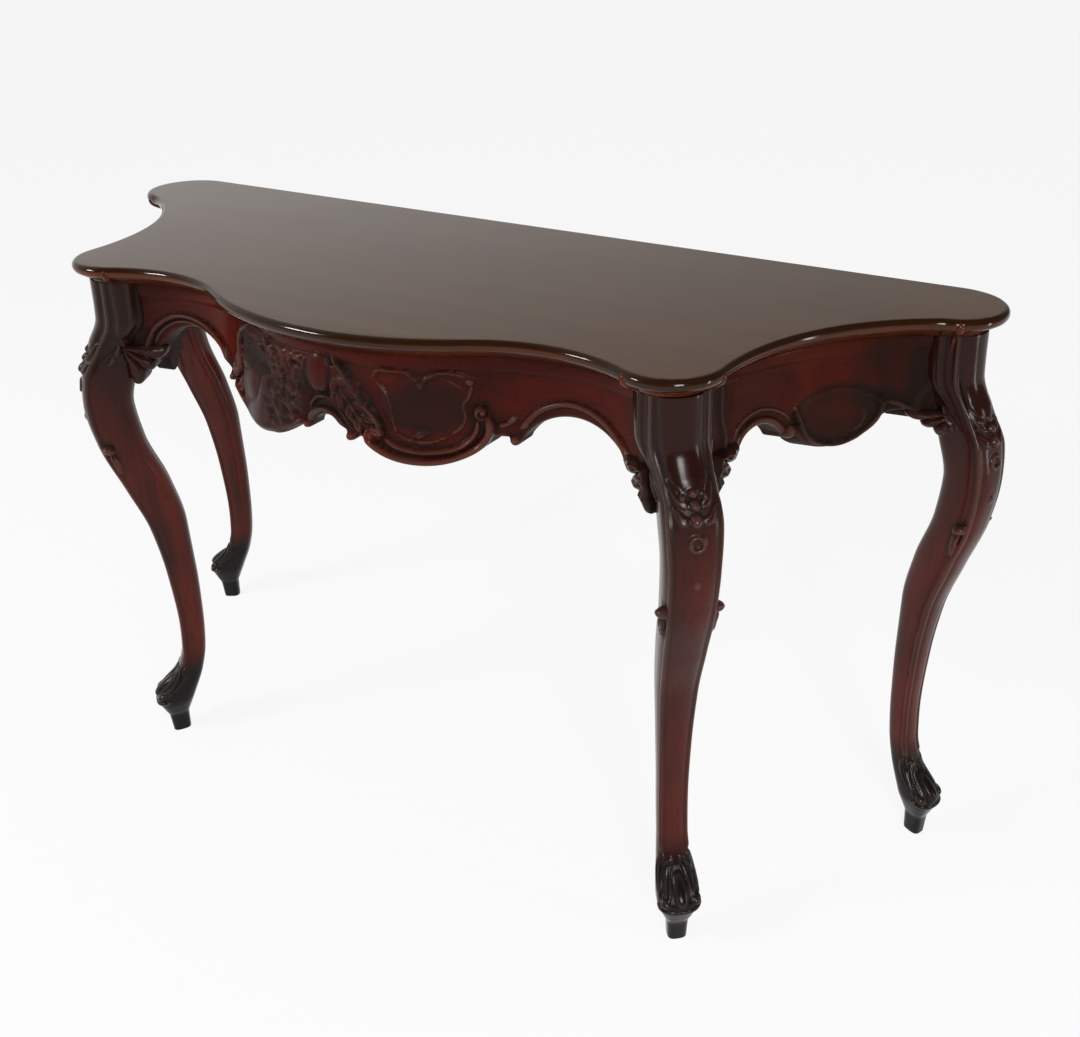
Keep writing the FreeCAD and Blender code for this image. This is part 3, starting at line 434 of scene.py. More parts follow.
# each wood's colours are its light figure, its dark figure and its pores
POLISHED_TOP = WoodFinish(
    "polished_top", (0.082, 0.034, 0.009), (0.062, 0.026, 0.007), (0.045, 0.019, 0.004),
    roughness=0.09, roughness_spread=0.02, specular=0.135, bump=0.004, rim=Rim())
MOULDING = WoodFinish(
    "moulding_wood", (0.085, 0.016, 0.004), (0.034, 0.008, 0.003), (0.012, 0.004, 0.002),
    roughness=0.14, specular=0.13)
APRON = WoodFinish(
    "apron_wood", (0.074, 0.007, 0.003), (0.022, 0.004, 0.003), (0.010, 0.003, 0.002),
    roughness=0.17, specular=0.06, wax_wear_and_painted_light=WaxWearAndPaintedLight())
SIDE_APRON = WoodFinish(
    "side_apron_wood", (0.060, 0.008, 0.003), (0.020, 0.004, 0.003), (0.010, 0.003, 0.002),
    Grain.ALONG_DEPTH, roughness=0.17, specular=0.04, wax_wear_and_painted_light=WaxWearAndPaintedLight())
CARVED_LEG = WoodFinish(
    "carved_leg_wood", (0.086, 0.011, 0.006), (0.030, 0.006, 0.004), (0.010, 0.003, 0.002),
    Grain.UPRIGHT, roughness=0.19, roughness_spread=0.05, specular=0.16, darkening_by_height=HeightDarkening(0.86),
    wax_wear_and_painted_light=WaxWearAndPaintedLight(ridge=0.27))
CARVED_EAR = WoodFinish(
    "carved_ear_wood", (0.040, 0.012, 0.008), (0.018, 0.006, 0.004), (0.010, 0.004, 0.003),
    Grain.UPRIGHT, roughness=0.24, specular=0.12, wax_wear_and_painted_light=WaxWearAndPaintedLight())
PLAIN = WoodFinish(
    "plain_wood", (0.30, 0.19, 0.11), (0.20, 0.12, 0.065), (0.12, 0.07, 0.04),
    roughness=0.6, specular=0.3, bump=0.3)
STEEL = MetalFinish("screw_steel")


# ------------------------------------------------------------------ plan of the table


def half_circle(places: np.ndarray, centre: float, radius: float) -> np.ndarray:
    """Height of a half-circle at places along its diameter, or zero beyond its ends."""
    return np.sqrt(np.maximum(radius ** 2 - (places - centre) ** 2, 0))


@dataclass(frozen=True)
class Plan:
    """The outline of the top: lobes, hollows and a bow, set in as asked."""

    lobe: Point = (407.0, HALF_DEPTH - 391.0)
    lobe_radius: float = 62.0
    side_radius: float = 289.0
    hollow_x: float = 285.0
    hollow_radius: float = 192.0
    back_lobe: Point = (615.0, 182.0)
    back_lobe_radius: float = 68.0

    @property
    def hollow(self) -> Point:
        """Centre of the right front hollow."""
        pair, away = self.hollow_radius + self.lobe_radius, self.lobe[0] - self.hollow_x
        return self.hollow_x, self.lobe[1] - math.sqrt(pair ** 2 - away ** 2)

    @property
    def bow_radius(self) -> float:
        """Radius of the bow in the middle of the front."""
        x, rise = self.hollow_x, -HALF_DEPTH - self.hollow[1]
        return (x ** 2 + rise ** 2 - self.hollow_radius ** 2) / (2 * (self.hollow_radius - rise))

    @property
    def side_x(self) -> float:
        """X of the centre of the right side hollow."""
        return self.lobe[0] + self.lobe_radius + self.side_radius

    def nicks(self) -> dict[str, Triple]:
        """Find where the lobes meet the hollows.

        Returns:
            Place and outward heading of each nick on the right, by the name of its bead.
        """
        side = (self.side_x, self.lobe[1])
        return {"mitre_front": self._toward(self.lobe, self.hollow, self.lobe_radius),
                "mitre_side": self._toward(self.lobe, side, self.lobe_radius),
                "mitre_back": self._toward(self.back_lobe, side, self.back_lobe_radius)}

    @staticmethod
    def _toward(centre: Point, other: Point, radius: float) -> Triple:
        """Go from the centre of a lobe to its rim, towards another centre.

        Args:
            centre: Centre of the lobe.
            other: The other centre.
            radius: Radius of the lobe.

        Returns:
            The place reached and the heading.
        """
        step = (other[0] - centre[0], other[1] - centre[1])
        share = radius / math.hypot(*step)
        return (centre[0] + step[0] * share, centre[1] + step[1] * share,
                math.degrees(math.atan2(step[1], step[0])))

    def front_y(self, x: np.ndarray, inset: float) -> np.ndarray:
        """Y of the front edge.

        Args:
            x: Places along the width.
            inset: Distance in from the edge of the top.

        Returns:
            Y at each place.
        """
        across = np.abs(x)
        centre_x, centre_y = self.hollow
        to_hollow = (self.bow_radius - inset) / (self.bow_radius + self.hollow_radius)
        to_lobe = (self.lobe_radius - inset) / (self.hollow_radius + self.lobe_radius)
        bow_end = centre_x * to_hollow
        hollow_end = self.lobe[0] + (centre_x - self.lobe[0]) * to_lobe
        bow = self.bow_radius - HALF_DEPTH - half_circle(across, 0.0, self.bow_radius - inset)
        hollow = centre_y + half_circle(across, centre_x, self.hollow_radius + inset)
        lobe = self.lobe[1] - half_circle(across, self.lobe[0], max(self.lobe_radius - inset, 0.0))
        return np.where(across < bow_end, bow, np.where(across < hollow_end, hollow, lobe))

    def side_edge(self, y: np.ndarray, inset: float) -> np.ndarray:
        """X of the right side edge at places along the depth, set in from the edge of the top."""
        return self.side_x - half_circle(y, self.lobe[1], self.side_radius + inset)


PLAN = Plan()


def rounded_edge(gap: np.ndarray, size: float = 8.0, fullness: float = 0.8) -> np.ndarray:
    """How far a face falls back at a gap above its lower edge, as a quarter-round does."""
    share = np.clip(1 - gap / size, 0, 1)
    return size * (1 - np.sqrt(1 - share ** 2)) * fullness


def arc_drop(x: np.ndarray, start: Point, end: Point, rise: float) -> np.ndarray:
    """Height of a shallow arc between two points.

    Args:
        x: Places along the line.
        start: First end, as place and height.
        end: Last end, as place and height.
        rise: How far the arc stands off its chord, upwards if positive.

    Returns:
        The arc's height at each place, or the chord's where the rise is zero.
    """
    share = np.clip((x - start[0]) / (end[0] - start[0]), 0, 1)
    chord = start[1] + (end[1] - start[1]) * share
    if rise == 0:
        return chord
    half = abs(end[0] - start[0]) / 2
    size = abs(rise)
    radius = (half ** 2 + size ** 2) / (2 * size)
    lift = half_circle((share * 2 - 1) * half, 0.0, radius) - (radius - size)
    return chord + math.copysign(1, rise) * np.maximum(lift, 0)


# ------------------------------------------------------------------ carving in relief


def smooth_line(points: Line, steps: int = 8) -> np.ndarray:
    """Draw a smooth line through points.

    Args:
        points: The points to pass through.
        steps: Places on each stretch.

    Returns:
        Places along the line, one row each.
    """
    knots = np.array(points, dtype=float)
    if len(knots) == 2:
        return knots[0] + (knots[1] - knots[0]) * np.linspace(0, 1, steps + 1)[:, None]
    padded = np.vstack([2 * knots[0] - knots[1], knots, 2 * knots[-1] - knots[-2]])
    rows = []
    for number in range(len(knots) - 1):
        before, first, last, after = padded[number:number + 4]
        for share in np.linspace(0, 1, steps, endpoint=False):
            rows.append(0.5 * (2 * first + (last - before) * share
                               + (2 * before - 5 * first + 4 * last - after) * share ** 2
                               + (3 * first - before - 3 * last + after) * share ** 3))
    rows.append(knots[-1])
    return np.array(rows)


def spiral(centre: Point, radius: float, turns: float, start: float, steps: int = 26) -> Line:
    """Points of a volute that winds in to its eye.

    Args:
        centre: The eye.
        radius: Reach of the outer end.
        turns: Number of turns, negative to wind clockwise.
        start: Direction of the outer end.
        steps: Number of points.

    Returns:
        The points, from the outer end inwards.
    """
    points = []
    for share in np.linspace(0, 1, steps):
        reach = radius * (1 - share) ** 0.85 + radius * 0.08
        angle = math.radians(start + 360 * turns * share)
        points.append((centre[0] + reach * math.cos(angle), centre[1] + reach * math.sin(angle)))
    return points


class Relief:
    """A field of heights that is carved with beads, leaves and bosses."""

    # lower than any carving, for places that a form doesn't reach
    NOWHERE = -1e3
    # share of its width that a bead loses at its tips, and the least half-width of a tip
    BEAD_TIP = 0.75
    LEAST_HALF = 0.4
    # shares of a leaf's width that its notches take and that its vein is wide
    NOTCH = 0.26
    VEIN = 0.1
    # shares of a leaf's height that its flutes and its narrow ends take
    FLUTE = 0.22
    LOW_END = 0.45
    # how far along an acanthus leaflet its points lie, and how far each bends from the rib
    LEAFLET = ((0.0, 1.0), (0.55, 1.1), (1.0, 0.85))
    # shares of an acanthus rib's height at which its leaflets start, and that they add
    LEAFLET_FLOOR = 0.4
    LEAFLET_HEIGHT = 0.5
    # least and greatest size of a pebble, as shares of the usual one, and the step between two
    PEBBLE_SIZES = (0.7, 1.35)
    PEBBLE_STEP = 1.35
    # least and greatest radius of a pit, as shares of the spacing, and how crowded the pits are
    PIT_SIZES = (0.35, 0.75)
    PIT_CROWDING = 1.3

    def __init__(self, across: np.ndarray, up: np.ndarray) -> None:
        """Start with a flat field.

        Args:
            across: Places along the face.
            up: Heights above the floor.
        """
        self.across = across
        self.up = up
        self.height = np.zeros_like(across, dtype=float)
        # stain holds painted shade, with old wax and dust, that the hollow mark adds
        self.stain = np.zeros_like(across, dtype=float)

    def _near(self, line: np.ndarray, reach: float) -> tuple[np.ndarray, ...]:
        """Measure the field from a line.

        Args:
            line: Places along the line.
            reach: The furthest distance of interest.

        Returns:
            A mask of the places looked at, and for those the distance from the line and the
            share of its length.
        """
        low, high = line.min(axis=0) - reach, line.max(axis=0) + reach
        mask = ((self.across > low[0]) & (self.across < high[0])
                & (self.up > low[1]) & (self.up < high[1]))
        spots = np.stack([self.across[mask], self.up[mask]], axis=1)
        nearest = np.full(len(spots), np.inf)
        share = np.zeros(len(spots))
        steps = np.diff(line, axis=0)
        lengths = np.maximum(np.hypot(steps[:, 0], steps[:, 1]), 1e-9)
        total = lengths.sum()
        run = 0.0
        for first, step, length in zip(line[:-1], steps, lengths):
            away = spots - first
            along = np.clip((away @ step) / length ** 2, 0, 1)
            gap = away - along[:, None] * step
            distance = np.hypot(gap[:, 0], gap[:, 1])
            closer = distance < nearest
            nearest = np.where(closer, distance, nearest)
            share = np.where(closer, (run + along * length) / total, share)
            run += length
        return mask, nearest, share

    def halves(self) -> Iterator["Relief"]:
        """Turn the field both ways, so that what is carved twice makes a pair.

        Yields:
            The same field, with its left side and then its right side as the positive one.
        """
        for side in (-1, 1):
            half = Relief(self.across * side, self.up)
            half.height, half.stain = self.height, self.stain
            yield half

    def _raise(self, mask: np.ndarray, heights: np.ndarray) -> None:
        """Lift the field to new heights where they are higher."""
        self.height[mask] = np.maximum(self.height[mask], heights)

    def _from(self, centre: Point, radii: Point = (1.0, 1.0)) -> np.ndarray:
        """Measure the field from a point, in radii across and up."""
        return np.hypot((self.across - centre[0]) / radii[0], (self.up - centre[1]) / radii[1])

    def bead(self, points: Line, width: float, height: float, ends: float = 0.12,
             taper: float = 0.0) -> None:
        """Carve a rounded bead that thins out at both ends.

        Args:
            points: The points that it passes through.
            width: Its full width.
            height: Its height.
            ends: Share of its length that thins out at each end.
            taper: Share of the width that is lost from the first point to the last.
        """
        mask, off, share = self._near(smooth_line(points), width)
        fade = np.clip(np.minimum(share, 1 - share) / ends, 0, 1) ** 0.5
        tip = 1 - self.BEAD_TIP + self.BEAD_TIP * fade
        half = np.maximum(width / 2 * tip * (1 - taper * share), self.LEAST_HALF)
        crown = np.sqrt(np.maximum(1 - (off / half) ** 2, 0))
        self._raise(mask, np.where(off < half, height * fade * crown, self.NOWHERE))

    def groove(self, points: Line, width: float, depth: float) -> None:
        """Cut a soft groove through points."""
        mask, off, _ = self._near(smooth_line(points), width)
        self.height[mask] -= depth * np.maximum(1 - (off / (width / 2)) ** 2, 0) ** 1.5

    def boss(self, centre: Point, radii: Point, height: float, turn: float = 0.0,
             power: float = 0.6) -> None:
        """Carve a rounded boss.

        Args:
            centre: Its middle.
            radii: Its two half-axes.
            height: Its height.
            turn: How far its first axis is turned.
            power: How full its top is: smaller is fuller.
        """
        angle = math.radians(turn)
        dx, dz = self.across - centre[0], self.up - centre[1]
        first = (dx * math.cos(angle) + dz * math.sin(angle)) / radii[0]
        last = (dz * math.cos(angle) - dx * math.sin(angle)) / radii[1]
        inside = 1 - first ** 2 - last ** 2
        mask = inside > 0
        self._raise(mask, height * inside[mask] ** power)

    def ring(self, centre: Point, radius: float, width: float, height: float) -> None:
        """Carve a ring.

        Args:
            centre: Its middle.
            radius: Radius of its crest.
            width: Width of its bead.
            height: Its height.
        """
        gap = self._from(centre) - radius
        mask = np.abs(gap) < width / 2
        self._raise(mask, height * np.sqrt(1 - (gap[mask] / (width / 2)) ** 2))

    def volute(self, centre: Point, radius: float, turns: float, start: float, width: float,
               height: float) -> None:
        """Carve a scroll that winds in from a direction, clockwise if its turns are negative."""
        self.bead(spiral(centre, radius, turns, start), width, height, ends=0.04)
        self.boss(centre, (width * 0.55, width * 0.55), height * 1.25)

    def leaf(self, spine: Line, width: float, height: float, lobes: int = 3, vein: float = 0.4,
             floor: float = 0.0) -> None:
        """Carve a lobed leaf with a sunk vein and fluted sides.

        Args:
            spine: Its line, from root to tip.
            width: Its full width.
            height: Its height.
            lobes: Lobes on each side.
            vein: Depth of the vein as a share of the height.
            floor: Height that it stands on.
        """
        mask, distance, share = self._near(smooth_line(spine), width)
        swell = np.sin(np.pi * np.clip(share, 0.001, 0.999) ** 0.8) ** 0.6
        notch = np.abs(np.sin(np.pi * lobes * share)) ** 0.5
        half = np.maximum(width / 2 * swell * (1 - self.NOTCH + self.NOTCH * notch), 0.3)
        off = distance / half
        dome = np.maximum(1 - off ** 2.4, 0) ** 0.6
        between = 1 - np.abs(np.sin(np.pi * (lobes * share - 0.5 * off)))
        flutes = 1 - self.FLUTE * np.minimum(off * 2, 1) * between ** 0.7
        sunk = 1 - vein * np.exp(-(distance / (self.VEIN * width)) ** 2)
        ends = 1 - self.LOW_END + self.LOW_END * swell
        heights = floor + height * dome * flutes * sunk * ends
        self._raise(mask, np.where(off < 1, heights, self.NOWHERE))

    def acanthus(self, spine: Line, leaflets: int, length: float, width: float, height: float,
                 spread: float = 48.0) -> None:
        """Carve an acanthus: pairs of leaflets on both sides of a beaded rib.

        Args:
            spine: Its line, from root to tip.
            leaflets: Number of pairs.
            length: Length of the longest leaflet.
            width: Width of a leaflet.
            height: Height of the rib.
            spread: Angle between the rib and a leaflet.
        """
        line = smooth_line(spine)
        for number in range(leaflets):
            share = (number + 0.4) / leaflets
            spot = int(share * (len(line) - 1))
            step = line[min(spot + 1, len(line) - 1)] - line[max(spot - 1, 0)]
            along = math.atan2(step[1], step[0])
            reach = length * (0.55 + 0.45 * math.sin(math.pi * (0.2 + 0.75 * share)))
            for side in (-1, 1):
                points = []
                for part, bend in self.LEAFLET:
                    angle = along + side * math.radians(spread * bend)
                    points.append(line[spot] + reach * part * np.array(
                        [math.cos(angle), math.sin(angle)]))
                self.leaf(points, width, height * self.LEAFLET_HEIGHT, lobes=1,
                          floor=height * self.LEAFLET_FLOOR)
        self.bead(spine, width * 0.36, height, ends=0.3)

    def pebbles(self, points: Line, size: float, height: float, seed: int) -> None:
        """Carve a chain of uneven bosses.

        Args:
            points: The line that they follow.
            size: Usual half-width of a boss.
            height: Usual height.
            seed: Seed of their unevenness.
        """
        picks = np.random.default_rng(seed)
        line = smooth_line(points, 40)
        run = np.append(0, np.cumsum(np.hypot(*np.diff(line, axis=0).T)))
        place = 0.0
        while place < run[-1]:
            grown = size * picks.uniform(*self.PEBBLE_SIZES)
            spot = [np.interp(place, run, line[:, i]) + picks.uniform(-0.5, 0.5) * size
                    for i in (0, 1)]
            self.boss(spot, (grown, grown * picks.uniform(0.6, 1.0)),
                      height * picks.uniform(0.75, 1.2), turn=picks.uniform(0, 180), power=0.5)
            place += grown * self.PEBBLE_STEP

    def pits(self, inside: np.ndarray, spacing: float, depth: float, seed: int) -> None:
        """Roughen part of the field with small scattered pits.

        Args:
            inside: Share of the roughening at each place, from 0 to 1.
            spacing: Usual distance between pits.
            depth: Depth of a pit.
            seed: Seed of their places.
        """
        region = inside > 0.3
        spots = np.argwhere(region)
        picks = np.random.default_rng(seed)
        span = np.ptp(self.across[region]) * np.ptp(self.up[region])
        number = int(span / spacing ** 2 * self.PIT_CROWDING)
        for row, column in spots[picks.integers(0, len(spots), number)]:
            x, z = self.across[row, column], self.up[row, column]
            size = spacing * picks.uniform(*self.PIT_SIZES)
            window = (np.abs(self.across - x) < size * 2) & (np.abs(self.up - z) < size * 2)
            gap = np.hypot(self.across[window] - x, (self.up[window] - z) * 1.5) / size
            deep = depth * picks.uniform(0.4, 1.2)
            self.height[window] -= deep * np.exp(-gap ** 2) * inside[window]

    def shade_patch(self, centre: Point, size: Point, depth: float) -> None:
        """Darken a patch, given by half its sizes: painted shade, with old wax and dust."""
        self.stain += depth * np.clip(1.4 * (1 - self._from(centre, size) ** 3), 0, 1)

    @staticmethod
    def blur(values: np.ndarray, reach: int) -> np.ndarray:
        """Average each place with those round it.

        Args:
            values: The field.
            reach: Places on each side that count as round it.

        Returns:
            The averaged field.
        """
        for axis in (0, 1):
            total = np.zeros_like(values)
            last = values.shape[axis] - 1
            for shift in range(-reach, reach + 1):
                total += np.take(values, np.clip(np.arange(last + 1) + shift, 0, last), axis=axis)
            values = total / (2 * reach + 1)
        return values

    def marks(self, reach: int = 4, gain: float = 0.5) -> dict[str, np.ndarray]:
        """Find where the carving lies deep and where its ridges stand proud, for dark wax with
        painted shade in the hollows, and rubbed wear with a painted highlight on the ridges.

        Args:
            reach: Places on each side that each place is compared with.
            gain: How much each millimetre counts.

        Returns:
            The depth, with the painted shade of the stain added, and the ridges, from 0 to 1 at
            each place.
        """
        proud = (self.height - self.blur(self.height, reach)) * gain
        # the hollow mark carries painted shade, the ridge mark a painted highlight
        hollow = self.blur(np.clip(-proud, 0, 1), 1) + self.stain
        return {"hollow": np.clip(hollow, 0, 1), "ridge": np.clip(proud * 1.6 - 0.3, 0, 1)}


# ------------------------------------------------------------------ modelling


def deselect() -> None:
    """Deselect everything."""
    bpy.ops.object.select_all(action="DESELECT")


@contextmanager
def editing(piece: bpy.types.Object) -> Iterator[None]:
    """Select a piece alone and all over in edit mode, and go back to object mode after.

    Args:
        piece: The piece.

    Yields:
        Nothing.
    """
    deselect()
    piece.select_set(True)
    bpy.context.view_layer.objects.active = piece
    bpy.ops.object.mode_set(mode="EDIT")
    bpy.ops.mesh.select_all(action="SELECT")
    yield
    bpy.ops.object.mode_set(mode="OBJECT")


def carved_sheet(name: str, front: np.ndarray, marks: dict[str, np.ndarray],
                 back: np.ndarray | None = None) -> bpy.types.Object:
    """Make a sheet of carving from a grid, and note its marks for the finish.

    Args:
        name: Name of the piece.
        front: The place of each point of its front, by row and column.
        marks: The name of each mark, with its values by row and column.
        back: The places of its back, or None for a sheet that has none.

    Returns:
        The new piece.
    """
    rows, columns = front.shape[:2]
    deselect()
    bpy.ops.mesh.primitive_grid_add(x_subdivisions=columns - 1, y_subdivisions=rows - 1, size=1,
                                    location=(0.5, 0.5, 0))
    piece = bpy.context.object
    piece.name = name
    bpy.ops.object.transform_apply(location=True, rotation=True, scale=True)
    if back is not None:
        with editing(piece):
            bpy.ops.mesh.extrude_region_move(TRANSFORM_OT_translate={"value": (0, 0, -1)})
    mesh = piece.data
    flat = np.empty(len(mesh.vertices) * 3)
    mesh.vertices.foreach_get("co", flat)
    spots = flat.reshape(-1, 3)
    column = np.rint(spots[:, 0] * (columns - 1)).astype(int)
    row = np.rint(spots[:, 1] * (rows - 1)).astype(int)
    behind = spots[:, 2] < -0.5
    places = front[row, column]
    if back is not None:
        places[behind] = back[row, column][behind]
    mesh.vertices.foreach_set("co", (places * MM).ravel())
    for mark, values in marks.items():
        # the hidden backs are darkened with painted shade
        hidden = HIDDEN_SHADE if mark == "hollow" else 0.0
        data = mesh.attributes.new(mark, "FLOAT", "POINT").data
        data.foreach_set("value", np.where(behind, hidden, values[row, column]))
    mesh.update()
    return piece


def finish_mesh(piece: bpy.types.Object, angle: float = CARVED_EDGE) -> None:
    """Merge a piece's doubles, turn its faces outwards and shade it smooth.

    Args:
        piece: The piece.
        angle: Edges sharper than this stay sharp.
    """
    with editing(piece):
        bpy.ops.mesh.remove_doubles(threshold=MERGE_GAP * MM)
        bpy.ops.mesh.normals_make_consistent(inside=False)
    bpy.ops.object.shade_smooth_by_angle(angle=math.radians(angle))


def dress(piece: bpy.types.Object, finish: WoodFinish,
          nodes: Sequence[str] = ()) -> None:
    """Give a piece its finish, seat it on the frame and hide the nodes it stands for.

    Args:
        piece: The piece.
        finish: Its finish.
        nodes: Nodes that it replaces.
    """
    piece.data.materials.clear()
    piece.data.materials.append(finish.build())
    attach(piece, "root")
    if nodes:
        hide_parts(*nodes)
    log.info("%s: %d faces", piece.name, len(piece.data.polygons))


# ------------------------------------------------------------------ the pieces


@dataclass
class Top:
    """The polished board and the moulding under it."""

    smooth_angle: float = 40.0
    mouldings: Sequence[str] = (
        "moulding_front", "moulding_side_right", "moulding_side_left",
        "moulding_front_corner_right", "moulding_front_corner_left",
        "moulding_back_corner_right", "moulding_back_corner_left")

    def build(self) -> None:
        """Make the board and the lengths of moulding."""
        dress(self._smooth_copy("top_board"), POLISHED_TOP, ["top_board"])
        for node in self.mouldings:
            dress(self._smooth_copy(node), MOULDING, [node])

    def _smooth_copy(self, node: str) -> bpy.types.Object:
        """Copy a node of the frame as one smooth-shaded mesh.

        Args:
            node: Name of the node.

        Returns:
            The copy.
        """
        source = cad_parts[node]
        copy = source.copy()
        copy.data = source.data.copy()
        copy.name = f"{node}_polished"
        copy.parent = None
        bpy.context.collection.objects.link(copy)
        finish_mesh(copy, self.smooth_angle)
        weigh = copy.modifiers.new("weigh_normals", "WEIGHTED_NORMAL")
        weigh.keep_sharp = True
        weigh.weight = 100
        bpy.ops.object.modifier_apply(modifier=weigh.name)
        return copy


@dataclass
class Apron:
    """A carved apron that follows an edge of the top."""

    rows: int = 84
    face_inset: float = 38.0
    back_inset: float = 60.0
    # corners of the lower edge, each a place, a height and the rise of the arc that ends there
    corners: Sequence[Triple] = ()
    # places of its ends, with the way to its middle, and the bead and the shade at an end
    ends: Sequence[tuple[float, int]] = ()
    end_bead: Line = ()
    end_shade: float = 30.0

    def lower_edge(self, places: np.ndarray) -> np.ndarray:
        """Height of the lower edge.

        Args:
            places: Places along the apron.

        Returns:
            Height at each place.
        """
        low = np.full_like(places, APRON_EDGE)
        for start, end in zip(self.corners, self.corners[1:]):
            here = (places >= start[0]) & (places <= end[0])
            low[here] = arc_drop(places[here], start[:2], end[:2], rise=end[2])
        return low

    def carve(self, relief: Relief) -> None:
        """Carve the face.

        Args:
            relief: The field to carve.
        """
        raise NotImplementedError

    def carve_rail(self, relief: Relief, start: float, end: float) -> None:
        """Carve the broad band and the narrow bead along the top."""
        for up, width, height in ((742, 22, 2.4), (751.5, 4.5, 3.4)):
            relief.bead([(start, up), (0, up), (end, up)], width, height, ends=0.001)

    def carve_ends(self, relief: Relief) -> None:
        """Carve the beads beside the legs and paint shade into the corners where the apron meets a
        leg.

        Args:
            relief: The field to carve.
        """
        for end, inward in self.ends:
            relief.shade_patch((end, 690), (self.end_shade, 80), 0.6)
            relief.bead([(end + inward * off, up) for off, up in self.end_bead], 8, 3.2, ends=0.1)

    def model(self, name: str, places: np.ndarray, edge: Edge, outward: int,
              axes: Sequence[int] = (0, 1, 2), hand: int = 1) -> bpy.types.Object:
        """Make the apron's mesh.

        Args:
            name: Name of the piece.
            places: Places of its columns, along the apron.
            edge: Gives where the top's edge lies, for places and an inset.
            outward: The way that the face looks, 1 or -1.
            axes: Which of along, off and up is X, Y and Z.
            hand: Sign on X.

        Returns:
            The new piece.
        """
        low = self.lower_edge(places)
        up = low + (BOARD_UNDER - low) * np.linspace(0, 1, self.rows)[:, None]
        relief = Relief(np.repeat(places[None, :], self.rows, axis=0), up)
        self.carve(relief)
        relief.height -= rounded_edge(up - low)
        face = edge(places, self.face_inset)
        slope = np.gradient(face, places)
        size = np.sqrt(1 + slope ** 2)
        front = np.stack([places - outward * slope / size * relief.height,
                          face + outward / size * relief.height, up], axis=2)
        back = np.stack(np.broadcast_arrays(places, edge(places, self.back_inset), up), axis=2)
        front, back = (spots[..., axes] * (hand, 1, 1) for spots in (front, back))
        piece = carved_sheet(name, front, relief.marks(), back)
        finish_mesh(piece)
        return piece


